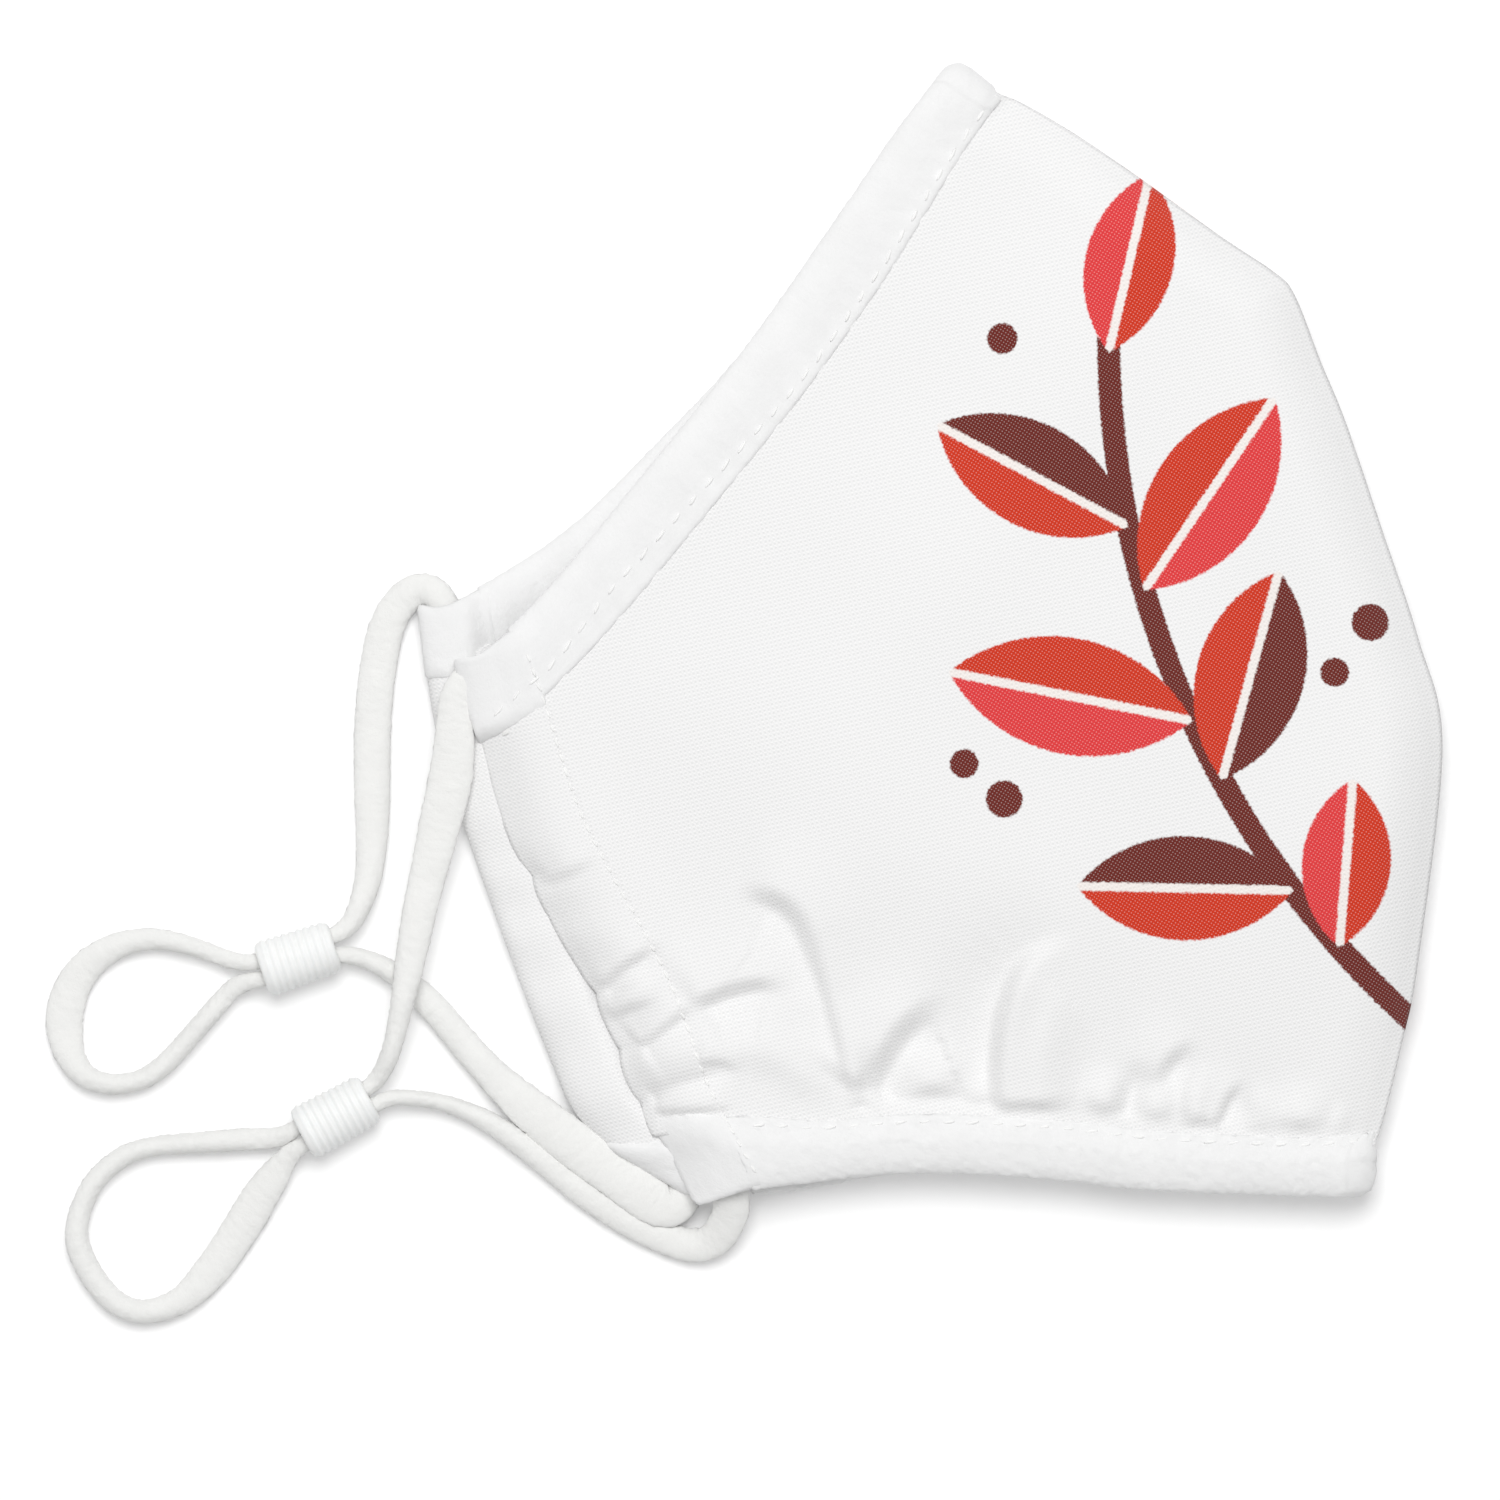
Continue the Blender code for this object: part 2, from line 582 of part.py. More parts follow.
def main():
    for obj in list(bpy.data.objects):
        bpy.data.objects.remove(obj, do_unlink=True)
    scene = bpy.context.scene
    parts = bpy.data.collections.new("folded_cloth_mask")
    cutters = bpy.data.collections.new("cutters")
    scene.collection.children.link(parts)
    scene.collection.children.link(cutters)

    outer_cloth = make_material("printed_outer_cloth", (0.86, 0.85, 0.85), 0.75)
    lining_cloth = make_material("soft_lining", (0.88, 0.88, 0.87), 0.9)
    plush = make_material("brushed_strip", (0.87, 0.87, 0.87), 0.95)
    elastic = make_material("elastic_cord", (0.87, 0.87, 0.85), 0.9)
    silicone = make_material("adjuster_silicone", (0.84, 0.84, 0.83), 0.45)
    metal = make_material("wire_metal", (0.75, 0.76, 0.78), 0.35)

    left = Half("left", -1, LEFT_TOP_EDGE, LEFT_EAR_EDGE, LEFT_CASING_SETBACK, PRESSED_GATHERS)
    right = Half("right", 1, RIGHT_TOP_EDGE, RIGHT_EAR_EDGE, RIGHT_CASING_SETBACK, 1.0)

    nose, chin = crease_line(right)
    crease_top = PART_PLANE + FOLD_HEIGHT + CROWN + 2 * HALF_SANDWICH
    crease = (nose - chin).normalized()
    left_body = add_empty("left_half", Vector((0.0, 0.0, 0.0)), Vector((0.0, 0.0, 1.0)), None, parts)
    right_body = add_empty("right_half", Vector((chin.x, chin.y, crease_top)), Vector((crease.x, crease.y, 0.0)),
                           left_body, parts)

    for half, body in ((left, left_body), (right, right_body)):
        name = half.name
        hem = loft_mesh(name + "_top_hem", edge_strip(half, True, HEM_WIDTH, 18))
        new_object(name + "_top_hem", hem, plush, body, parts)
        binding = loft_mesh(name + "_bottom_binding", edge_strip(half, False, BINDING_WIDTH, 18))
        new_object(name + "_bottom_binding", binding, plush, body, parts)
        casing = loft_mesh(name + "_ear_casing", ear_casing(half))
        new_object(name + "_ear_casing", casing, outer_cloth, body, parts)

    add_panel("left_outer_panel", left, OUTER_CLOTH, 1, outer_cloth, left_body, parts)
    add_panel("left_lining", left, LINING_CLOTH, -1, lining_cloth, left_body, parts)
    for towards_ear, label, body in ((True, "cheek", right_body), (False, "ridge", left_body)):
        cutter = crease_cutter(label + "_side", nose, chin, towards_ear, cutters)
        outer = add_panel("right_outer_" + label, right, OUTER_CLOTH, 1, outer_cloth, body, parts)
        lining = add_panel("right_lining_" + label, right, LINING_CLOTH, -1, lining_cloth, body, parts)
        keep_inside(outer, cutter)
        keep_inside(lining, cutter)

    wire = loft_mesh("nose_wire", wire_stations(left) + wire_stations(right)[::-1])
    new_object("nose_wire", wire, metal, left_body, parts)

    loops = ((left, left_body, LEFT_ADJUSTER, LEFT_UPPER_STRAND, LEFT_TAIL, LEFT_LOWER_STRAND),
             (right, right_body, RIGHT_ADJUSTER, RIGHT_UPPER_STRAND, RIGHT_TAIL, RIGHT_LOWER_STRAND))
    for half, body, spot, upper, tail, lower in loops:
        route = cord_route(half, spot, upper, tail, lower)
        add_cord(half.name + "_ear_cord", route, spot, elastic, body, parts)
        add_adjuster(half.name + "_cord_adjuster", spot, silicone, body, parts, cutters)


main()
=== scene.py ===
"""Dressed scene of a two-layer cloth face mask that lies folded flat along its front seam.

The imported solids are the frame. Each cloth layer, sewn strip, stitch row, ear cord and adjuster is
modelled here on the same outlines, in metres, and gets its own finish.
"""

import json
import logging
import math
from dataclasses import dataclass, field
from enum import Enum
from typing import Optional

import bmesh
import bpy
import numpy as np
from mathutils import Matrix, Vector, noise

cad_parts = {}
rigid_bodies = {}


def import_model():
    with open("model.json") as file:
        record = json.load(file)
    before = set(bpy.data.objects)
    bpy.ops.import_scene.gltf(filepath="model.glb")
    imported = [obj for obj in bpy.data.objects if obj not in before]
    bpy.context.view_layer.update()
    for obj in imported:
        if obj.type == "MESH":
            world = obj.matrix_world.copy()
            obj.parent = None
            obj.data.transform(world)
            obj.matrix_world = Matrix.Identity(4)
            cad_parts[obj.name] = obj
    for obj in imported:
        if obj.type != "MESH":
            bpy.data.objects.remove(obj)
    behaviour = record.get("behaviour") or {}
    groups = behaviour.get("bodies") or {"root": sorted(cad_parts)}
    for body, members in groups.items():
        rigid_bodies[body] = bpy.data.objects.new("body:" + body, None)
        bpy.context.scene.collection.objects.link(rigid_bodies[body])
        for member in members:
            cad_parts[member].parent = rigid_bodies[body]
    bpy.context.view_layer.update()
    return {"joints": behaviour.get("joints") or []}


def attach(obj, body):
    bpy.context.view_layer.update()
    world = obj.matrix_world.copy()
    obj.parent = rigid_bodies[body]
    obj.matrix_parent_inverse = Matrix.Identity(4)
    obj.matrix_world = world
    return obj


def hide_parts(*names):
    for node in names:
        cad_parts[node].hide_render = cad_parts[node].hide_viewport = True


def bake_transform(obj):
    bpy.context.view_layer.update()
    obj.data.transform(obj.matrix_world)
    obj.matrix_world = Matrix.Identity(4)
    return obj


for leftover in list(bpy.data.objects):
    bpy.data.objects.remove(leftover, do_unlink=True)
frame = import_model()

LOG = logging.getLogger("folded_mask")
MM = 0.001
CURVE_STEPS = 16
WELD = 1e-6
TUBE_WELD = 1e-7
THINNEST_RIM = 0.12
WHITE = (1.0, 1.0, 1.0, 1.0)
Point = tuple[float, float]
Route = list[tuple[float, float, float, float]]
Socket = bpy.types.NodeSocket
Tree = bpy.types.NodeTree


class Side(Enum):
    """Half of the mask, by the direction in which it lies from the fold."""

    LEFT = -1
    RIGHT = 1


class Rim(Enum):
    """Edge of a half that a sewn strip covers."""

    TOP = "top"
    BOTTOM = "bottom"


class Layer(Enum):
    """Cloth layer of a half, by its direction from the middle of the cloth."""

    OUTER = 1
    LINING = -1


# Finished outlines on the table, in millimetres
NOSE = (0.6, 68.6)
CHIN = (52.4, -70.5)
FRONT_SEAM = [CHIN, (55.8, -63.0), (58.8, -51.0), (60.7, -41.2), (63.7, -14.5), (60.7, -1.0), (56.3, 12.2),
              (51.7, 25.8), (48.5, 33.6), (45.2, 42.0), (42.6, 44.8), (35.6, 49.5), (23.8, 58.0),
              (15.6, 63.4), (8.6, 67.0), NOSE]
EAR_FOOT = (-30.2, -70.6)
BOTTOM_EDGE = [EAR_FOOT, (-15.8, -68.7), (-1.8, -67.4), (14.8, -68.2), (27.7, -69.6), CHIN]
TOP_AT_NOSE = [(-22.4, 36.1), (-10.0, 53.8), (-4.9, 61.3), NOSE]
TOP_EDGE = {
    Side.RIGHT: [(-59.6, -3.6), (-55.6, -2.4), (-47.7, 5.1), (-35.2, 20.1)] + TOP_AT_NOSE,
    Side.LEFT: [(-64.1, 3.2), (-59.5, 3.7), (-46.3, 11.8), (-35.2, 22.3)] + TOP_AT_NOSE,
}
EAR_EDGE = {
    Side.RIGHT: [EAR_FOOT, (-37.1, -59.2), (-42.3, -46.1), (-52.2, -27.6), (-56.7, -13.0), (-59.6, -3.6)],
    Side.LEFT: [EAR_FOOT, (-42.7, -62.4), (-48.1, -52.4), (-57.2, -28.0), (-61.8, -13.0), (-64.1, 3.2)],
}


def linear(hex_colour: str) -> tuple[float, float, float, float]:
    """Turn an sRGB hex value into a linear colour.

    Args:
        hex_colour: Six hex digits after a hash sign.

    Returns:
        Red, green, blue and an alpha of one.
    """
    parts = [int(hex_colour[i:i + 2], 16) / 255 for i in (1, 3, 5)]
    red, green, blue = (c / 12.92 if c <= 0.04045 else ((c + 0.055) / 1.055) ** 2.4 for c in parts)
    return red, green, blue, 1.0


def smooth(value: np.ndarray) -> np.ndarray:
    """Ease from 0 to 1 while the value runs from 0 to 1."""
    value = np.clip(value, 0.0, 1.0)
    return value * value * (3.0 - 2.0 * value)


def mix(a: np.ndarray, b: np.ndarray, share: np.ndarray) -> np.ndarray:
    """Go from a to b by a share."""
    return a + (b - a) * share


def even_route(points: np.ndarray, spacing: float = 0.0, count: int = 0) -> np.ndarray:
    """Lay evenly spaced points on a smooth curve through the given points.

    Args:
        points: Points that the curve passes through, one a row.
        spacing: Distance between two points, where the count isn't given.
        count: Number of steps.

    Returns:
        The points along the curve, ends included.
    """
    knots = np.asarray(points, float)
    ends = np.vstack([2 * knots[0] - knots[1], knots, 2 * knots[-1] - knots[-2]])
    t = np.linspace(0.0, 1.0, CURVE_STEPS, endpoint=False)[:, None]
    dense = [0.5 * (2 * b + (c - a) * t + (2 * a - 5 * b + 4 * c - d) * t ** 2
                    + (3 * b - a - 3 * c + d) * t ** 3)
             for a, b, c, d in zip(ends, ends[1:], ends[2:], ends[3:])]
    line = np.vstack(dense + [knots[-1:]])
    travelled = np.concatenate([[0.0], np.cumsum(np.linalg.norm(np.diff(line, axis=0), axis=1))])
    steps = count or max(2, round(travelled[-1] / spacing))
    marks = np.linspace(0.0, travelled[-1], steps + 1)
    return np.stack([np.interp(marks, travelled, column) for column in line.T], axis=1)


class Form(Enum):
    """Shape of a fold across its line."""

    RIDGE = "ridge"
    STEP = "step"


@dataclass(frozen=True)
class Fold:
    """Soft fold in the cloth: its line on the table, its height and two widths, in millimetres.

    A ridge has one half width on the left of the line's direction and one on the right. A step has the
    width of its slope and the distance over which the cloth levels out; its left side is the high one.
    The fold grows over the lead share of its line, and past the fade share it dies away.
    """

    form: Form
    line: tuple[Point, ...]
    height: float
    first: float
    second: float
    fade: float = 0.4
    lead: float = 0.08
    steps: int = 18

    def rise(self, plan: np.ndarray) -> np.ndarray:
        """Height that the fold adds.

        Args:
            plan: Places on the table in metres.

        Returns:
            The rise in metres, of the same shape without the last axis.
        """
        path = even_route(np.array(self.line), count=self.steps)
        spots = plan.reshape(-1, 2) / MM
        best = np.full(len(spots), np.inf)
        place, turn = np.zeros(len(spots)), np.zeros(len(spots))
        for k, (a, b) in enumerate(zip(path, path[1:])):
            step, gap = b - a, spots - a
            share = np.clip((gap @ step) / (step @ step), 0.0, 1.0)
            distance = np.linalg.norm(gap - share[:, None] * step, axis=1)
            nearer = distance < best
            best[nearer] = distance[nearer]
            place[nearer] = (k + share[nearer]) / (len(path) - 1)
            turn[nearer] = (step[0] * gap[:, 1] - step[1] * gap[:, 0])[nearer]
        if self.form is Form.RIDGE:
            across = np.exp(-(best / np.where(turn > 0, self.first, self.second)) ** 2)
        else:
            slope = np.sign(turn) * smooth(0.5 + best / self.first) - 0.5 * np.sign(turn)
            across = slope * np.exp(-(best / self.second) ** 2)
        kept = smooth(place / self.lead) * (1.0 - smooth((place - self.fade) / (1.001 - self.fade)))
        return (self.height * MM * kept * across).reshape(plan.shape[:-1])


# Folds that the drawn-up binding and ear cord raise in the upper half
CLOTH_FOLDS = (
    Fold(Form.STEP, ((-24.9, -32.4), (-20.2, -33.3), (-17.1, -35.5), (-15.2, -39.3),
                     (-13.9, -43.0), (-12.9, -46.6)), 2.8, 3.2, 7.0, 0.5, 0.3),
    Fold(Form.STEP, ((-15.6, -38.4), (-13.9, -43.0), (-12.3, -48.6), (-10.7, -55.1), (-9.9, -59.6)),
         1.3, 1.8, 4.5, 0.6, 0.3),
    Fold(Form.STEP, ((-30.4, -47.4), (-27.8, -45.9), (-24.3, -44.6), (-20.8, -44.2), (-17.4, -45.6)),
         2.3, 2.6, 6.0, 0.6, 0.2),
    Fold(Form.STEP, ((-42.6, -48.9), (-37.3, -46.9), (-33.1, -45.6)), 1.1, 1.5, 3.6, 0.5),
    Fold(Form.STEP, ((-9.3, -58.4), (-5.9, -53.3), (-3.3, -49.6), (-0.3, -47.2), (2.9, -46.9)),
         3.6, 4.0, 7.0, 0.55, 0.15),
    Fold(Form.STEP, ((8.5, -60.9), (8.0, -56.8), (8.3, -51.0), (9.5, -45.3), (12.2, -40.7), (18.4, -37.4)),
         -3.6, 3.0, 7.0, 0.55),
    Fold(Form.STEP, ((27.6, -57.6), (30.0, -53.4), (33.6, -50.9)), 2.0, 2.6, 4.5, 0.5, 0.4),
    Fold(Form.STEP, ((35.4, -62.0), (37.1, -58.1), (39.6, -55.9)), 1.7, 1.6, 4.0, 0.5),
    Fold(Form.STEP, ((-36.9, -52.1), (-33.3, -49.4), (-29.7, -46.6)), 1.4, 1.6, 3.8, 0.7),
    Fold(Form.STEP, ((-42.2, -44.9), (-37.9, -41.5), (-33.4, -38.6)), 1.4, 1.5, 3.6, 0.6),
    Fold(Form.STEP, ((-34.9, -60.1), (-28.9, -59.8), (-24.2, -59.4)), 1.1, 1.0, 2.6, 0.6),
    Fold(Form.STEP, ((-51.4, -31.6), (-46.4, -30.6), (-40.9, -27.9)), 1.0, 1.8, 4.0, 0.5),
    Fold(Form.STEP, ((-28.9, -53.9), (-26.2, -53.9), (-23.7, -55.4)), 0.8, 1.4, 2.8, 0.5),
    Fold(Form.RIDGE, ((-40.7, -55.4), (-33.9, -52.9), (-26.4, -51.9), (-19.6, -52.9),
                      (-14.9, -56.1), (-13.2, -60.1)), 0.9, 3.0, 2.6, 0.8, 0.2),
    Fold(Form.RIDGE, ((-5.4, -58.2), (0.1, -56.1), (5.6, -58.0)), 2.0, 3.6, 1.7, 0.5, 0.5),
    Fold(Form.RIDGE, ((2.9, -57.7), (9.6, -58.3)), 1.4, 2.6, 1.5, 0.5, 0.5),
    Fold(Form.RIDGE, ((17.9, -57.8), (25.1, -59.2)), 1.5, 2.8, 1.5, 0.5, 0.5),
    Fold(Form.RIDGE, ((41.4, -60.1), (50.6, -61.4)), 1.5, 3.0, 1.5, 0.5, 0.5),
    Fold(Form.RIDGE, ((-11.2, -58.1), (-5.5, -58.1)), 1.1, 2.6, 1.3, 0.5, 0.5),
    Fold(Form.RIDGE, ((25.1, -59.2), (31.1, -59.8)), 1.1, 2.2, 1.4, 0.5, 0.5),
    Fold(Form.RIDGE, ((13.6, -60.4), (13.8, -53.6), (15.4, -47.4), (18.8, -42.6)), 1.0, 2.0, 3.6, 0.4),
    Fold(Form.RIDGE, ((32.6, -61.9), (32.9, -56.8), (34.8, -53.6)), 1.1, 1.3, 1.6, 0.4),
    Fold(Form.RIDGE, ((40.6, -62.4), (41.4, -59.1), (43.6, -57.1)), 0.8, 1.6, 2.2, 0.4),
    Fold(Form.RIDGE, ((50.6, -63.6), (51.1, -60.6), (52.1, -58.4)), 0.9, 1.1, 1.6, 0.4),
    Fold(Form.RIDGE, ((-8.6, -60.4), (-8.4, -55.5), (-7.8, -50.6)), -1.1, 1.2, 1.2, 0.4),
    Fold(Form.RIDGE, ((24.1, -61.1), (24.8, -57.4), (26.6, -53.4)), -0.9, 1.5, 1.5, 0.4),
    Fold(Form.RIDGE, ((-36.4, -58.4), (-30.2, -56.4), (-24.2, -54.9)), -0.7, 1.1, 1.2, 0.5),
    Fold(Form.RIDGE, ((-41.2, -47.6), (-37.2, -44.9), (-32.7, -42.6)), 0.6, 1.0, 1.8, 0.5),
)

# Slow waves of the laid cloth: height in millimetres, turn a millimetre along x and along y, and start
SLOW_WAVES = ((0.16, 0.11, 0.17, 0.0), (0.12, 0.21, -0.10, 1.3))


class Edge:
    """One side of a half's outline, read by its share of length."""

    SAMPLES = 240

    def __init__(self, outline: list[Point]) -> None:
        """Lay even points along the outline."""
        self.points = even_route(np.array(outline) * MM, count=self.SAMPLES)
        self.share = np.linspace(0.0, 1.0, self.SAMPLES + 1)

    def at(self, t: np.ndarray) -> np.ndarray:
        """Places at shares of the length."""
        return np.stack([np.interp(t, self.share, self.points[:, k]) for k in (0, 1)], axis=-1)


@dataclass
class HalfCloth:
    """Middle surface of one half: a four-sided patch, u from ear to seam and v from bottom to top.

    Heights are distances from the plane between the halves. A ramp is the distance over which something
    comes or goes.
    """

    side: Side
    hem: float = 0.0087
    binding: float = 0.0076
    casing: float = 0.0095
    part_plane: float = 0.00545
    fold_height: float = 0.00225
    table_height: float = 0.0039
    casing_height: float = 0.0028
    crown: float = 0.0026
    crown_ramp: float = 0.034
    strip_ramp: float = 0.007
    seam_roll: float = 0.0085
    seam_share: float = 0.03
    under_strip: float = 0.0022
    under_ramp: float = 0.003
    fold_rise: float = 0.020
    wave_ramp: float = 0.012
    hem_ramp: float = 0.006
    seam_ramp: float = 0.009
    gather_share: float = 0.15
    gather_start: float = 0.0004
    gather_ramp: float = 0.0030
    gather_depth: float = 0.005
    edges: dict[str, Edge] = field(init=False)

    def __post_init__(self) -> None:
        """Read the outlines and measure the patch."""
        self.edges = {"top": Edge(TOP_EDGE[self.side]), "ear": Edge(EAR_EDGE[self.side]),
                      "front": Edge(FRONT_SEAM), "bottom": Edge(BOTTOM_EDGE)}
        self.marks = np.linspace(0.0, 1.0, 61)
        rows, columns = np.meshgrid(np.linspace(0.0, 1.0, 41), self.marks)
        self.across_table = self.run_lengths(self.plan(columns, rows))
        self.along_table = self.run_lengths(self.plan(rows, columns))

    @staticmethod
    def run_lengths(lines: np.ndarray) -> np.ndarray:
        """Length of each row of points."""
        return np.linalg.norm(np.diff(lines, axis=1), axis=2).sum(axis=1)

    def plan(self, u: np.ndarray, v: np.ndarray) -> np.ndarray:
        """Places on the table of patch points.

        Args:
            u: Share of the way from ear to seam.
            v: Share of the way from bottom to top.

        Returns:
            The places in metres, with x and y on the last axis.
        """
        a, b = u[..., None], v[..., None]
        low, high = self.edges["bottom"], self.edges["top"]
        ear, front = self.edges["ear"], self.edges["front"]
        sides = low.at(u) * (1 - b) + high.at(u) * b + ear.at(v) * (1 - a) + front.at(v) * a
        ends = [edge.at(np.array(t)) for edge in (low, high) for t in (0.0, 1.0)]
        corners = (ends[0] * (1 - a) + ends[1] * a) * (1 - b) + (ends[2] * (1 - a) + ends[3] * a) * b
        return sides - corners

    def across(self, u: np.ndarray) -> np.ndarray:
        """Length from bottom to top at u."""
        return np.interp(u, self.marks, self.across_table)

    def along(self, v: np.ndarray) -> np.ndarray:
        """Length from ear to seam at v."""
        return np.interp(v, self.marks, self.along_table)

    @property
    def ear_length(self) -> float:
        """Length of the ear edge."""
        return float(self.across(np.array(0.0)))

    def rim_length(self, rim: Rim) -> float:
        """Length of the top or bottom edge."""
        return float(self.along(np.array(1.0 if rim is Rim.TOP else 0.0)))

    def v_at(self, rim: Rim, u: np.ndarray, inset: np.ndarray) -> np.ndarray:
        """Patch v at a distance in from the top or bottom edge."""
        share = inset / self.across(u)
        return 1.0 - share if rim is Rim.TOP else share

    def height(self, u: np.ndarray, v: np.ndarray) -> np.ndarray:
        """Height of the middle of the cloth away from the plane between the halves.

        Args:
            u: Share of the way from ear to seam.
            v: Share of the way from bottom to top.

        Returns:
            The heights in metres.
        """
        across, along = self.across(u), self.along(v)
        from_top = (1 - v) * across - self.hem
        from_bottom = v * across - self.binding
        from_ear = u * along - self.casing
        from_seam = (1 - u) * along
        if self.side is Side.RIGHT:
            strip = np.full_like(u, self.fold_height)
            swell = [smooth(d / self.crown_ramp) for d in (from_top, from_bottom, from_ear)]
            body = strip + self.crown * swell[0] * swell[1] * swell[2]
        else:
            strip = mix(self.fold_height, self.table_height, smooth(from_seam / self.fold_rise))
            body = np.full_like(u, self.table_height)
        inside = np.minimum(from_top, from_bottom)
        middle = mix(body, strip, 1 - smooth(inside / self.strip_ramp))
        roll = np.sin(math.pi / 2 * np.clip(from_seam / self.seam_roll, 0.0, 1.0))
        clear = smooth((inside + self.under_strip) / self.under_ramp)
        middle = mix(middle, middle * mix(self.seam_share, 1.0, roll), clear)
        return mix(middle, self.casing_height, 1 - smooth(from_ear / self.strip_ramp))

    def folds(self, u: np.ndarray, v: np.ndarray) -> np.ndarray:
        """Rise of the folds and the slow waves of the laid cloth, faded out at the strips and seam.

        Args:
            u: Share of the way from ear to seam.
            v: Share of the way from bottom to top.

        Returns:
            The rise in metres, away from the other half.
        """
        across, along = self.across(u), self.along(v)
        plan = self.plan(u, v)
        from_top = (1 - v) * across - self.hem
        from_bottom = v * across - self.binding
        from_seam = (1 - u) * along
        x, y = plan[..., 0] / MM, plan[..., 1] / MM
        waves = sum(tall * np.sin(by_x * x + by_y * y + start) for tall, by_x, by_y, start in SLOW_WAVES)
        waves = waves * MM * smooth(from_top / self.wave_ramp) * smooth(from_bottom / self.wave_ramp)
        rise = sum(one.rise(plan) for one in CLOTH_FOLDS) if self.side is Side.RIGHT else 0.0
        fade = mix(self.gather_share, 1.0, smooth((from_bottom + self.gather_start) / self.gather_ramp))
        fade = fade * smooth((from_bottom + self.gather_depth) / self.gather_depth)
        return (waves + rise * fade * smooth(from_top / self.hem_ramp)) * smooth(from_seam / self.seam_ramp)

    def place(self, u: np.ndarray, v: np.ndarray, offset: np.ndarray) -> np.ndarray:
        """World points of the patch, moved away from the other half by an offset.

        Args:
            u: Share of the way from ear to seam.
            v: Share of the way from bottom to top.
            offset: Distance from the middle of the cloth.

        Returns:
            The points in metres.
        """
        height = self.height(u, v) + offset
        flat = self.plan(u, v)
        return np.concatenate([flat, (self.part_plane + self.side.value * height)[..., None]], axis=-1)


def mesh_of(bm: bmesh.types.BMesh, name: str) -> bpy.types.Mesh:
    """Turn a finished bmesh into a mesh.

    Args:
        bm: Shape, which is freed.
        name: Name of the mesh.

    Returns:
        The mesh.
    """
    mesh = bpy.data.meshes.new(name)
    bm.to_mesh(mesh)
    bm.free()
    return mesh


def new_piece(name: str, mesh: bpy.types.Mesh, material: Optional[bpy.types.Material]) -> bpy.types.Object:
    """Link a piece that holds its place in its mesh.

    Args:
        name: Name of the piece.
        mesh: Its mesh, in the frame's metres.
        material: Its finish.

    Returns:
        The linked object.
    """
    piece = bpy.data.objects.new(name, mesh)
    bpy.context.scene.collection.objects.link(piece)
    if material is not None:
        mesh.materials.clear()
        mesh.materials.append(material)
    return piece


def settle(piece: bpy.types.Object) -> None:
    """Make a piece's modifiers part of its mesh, with faces out and smooth shading.

    Args:
        piece: Piece to finish.
    """
    graph = bpy.context.evaluated_depsgraph_get()
    done = bpy.data.meshes.new_from_object(piece.evaluated_get(graph), preserve_all_data_layers=True,
                                           depsgraph=graph)
    piece.modifiers.clear()
    old = piece.data
    piece.data = done
    bpy.data.meshes.remove(old)
    done.name = piece.name
    bm = bmesh.new()
    bm.from_mesh(done)
    bmesh.ops.recalc_face_normals(bm, faces=bm.faces)
    for face in bm.faces:
        face.smooth = True
    bm.to_mesh(done)
    bm.free()


def grid_mesh(name: str, places: np.ndarray, cloth: np.ndarray, edge: Optional[np.ndarray],
              closed: bool = False) -> bpy.types.Mesh:
    """Lay a grid of cloth on given places.

    Args:
        name: Name of the mesh.
        places: World places, rows by columns by three.
        cloth: Places on the flat cloth in millimetres, rows by columns by two.
        edge: Share of the full thickness at each place, or nothing.
        closed: Whether the columns join into a tube with filled ends.

    Returns:
        The mesh, with the cloth's own places in the attribute cloth_mm.
    """
    rows, columns = places.shape[:2]
    bm = bmesh.new()
    bmesh.ops.create_grid(bm, x_segments=columns - 1, y_segments=rows - 1, size=0.5)
    own = bm.verts.layers.float_vector.new("cloth_mm")
    weights = bm.verts.layers.deform.verify()
    for vert in bm.verts:
        column = round((vert.co.x + 0.5) * (columns - 1))
        row = round((vert.co.y + 0.5) * (rows - 1))
        vert.co = places[row, column]
        vert[own] = (*cloth[row, column], 0.0)
        if edge is not None:
            vert[weights][0] = float(edge[row, column])
    if closed:
        bmesh.ops.remove_doubles(bm, verts=bm.verts, dist=TUBE_WELD)
        bmesh.ops.holes_fill(bm, edges=[e for e in bm.edges if e.is_boundary])
        bmesh.ops.recalc_face_normals(bm, faces=bm.faces)
    for face in bm.faces:
        face.smooth = True
    return mesh_of(bm, name)


def rounded_rim(places: np.ndarray, radius: float, sides: str = "nsew") -> np.ndarray:
    """Share of the full thickness near the free edges of a cloth grid, so that they come out round.

    Args:
        places: World places, rows by columns by three.
        radius: Distance from the edge at which the cloth has its full thickness.
        sides: Free edges, n for the last row, s for the first, e for the last column, w for the first.

    Returns:
        The shares, rows by columns.
    """
    along = np.linalg.norm(np.diff(places, axis=0), axis=2)
    across = np.linalg.norm(np.diff(places, axis=1), axis=2)
    down = np.concatenate([np.zeros((1, places.shape[1])), np.cumsum(along, axis=0)])
    over = np.concatenate([np.zeros((places.shape[0], 1)), np.cumsum(across, axis=1)], axis=1)
    distances = {"s": down, "n": down[-1:] - down, "w": over, "e": over[:, -1:] - over}
    near = np.min([distances[s] for s in sides], axis=0)
    return np.maximum(THINNEST_RIM, np.sqrt(1 - (1 - np.clip(near / radius, 0.0, 1.0)) ** 2))


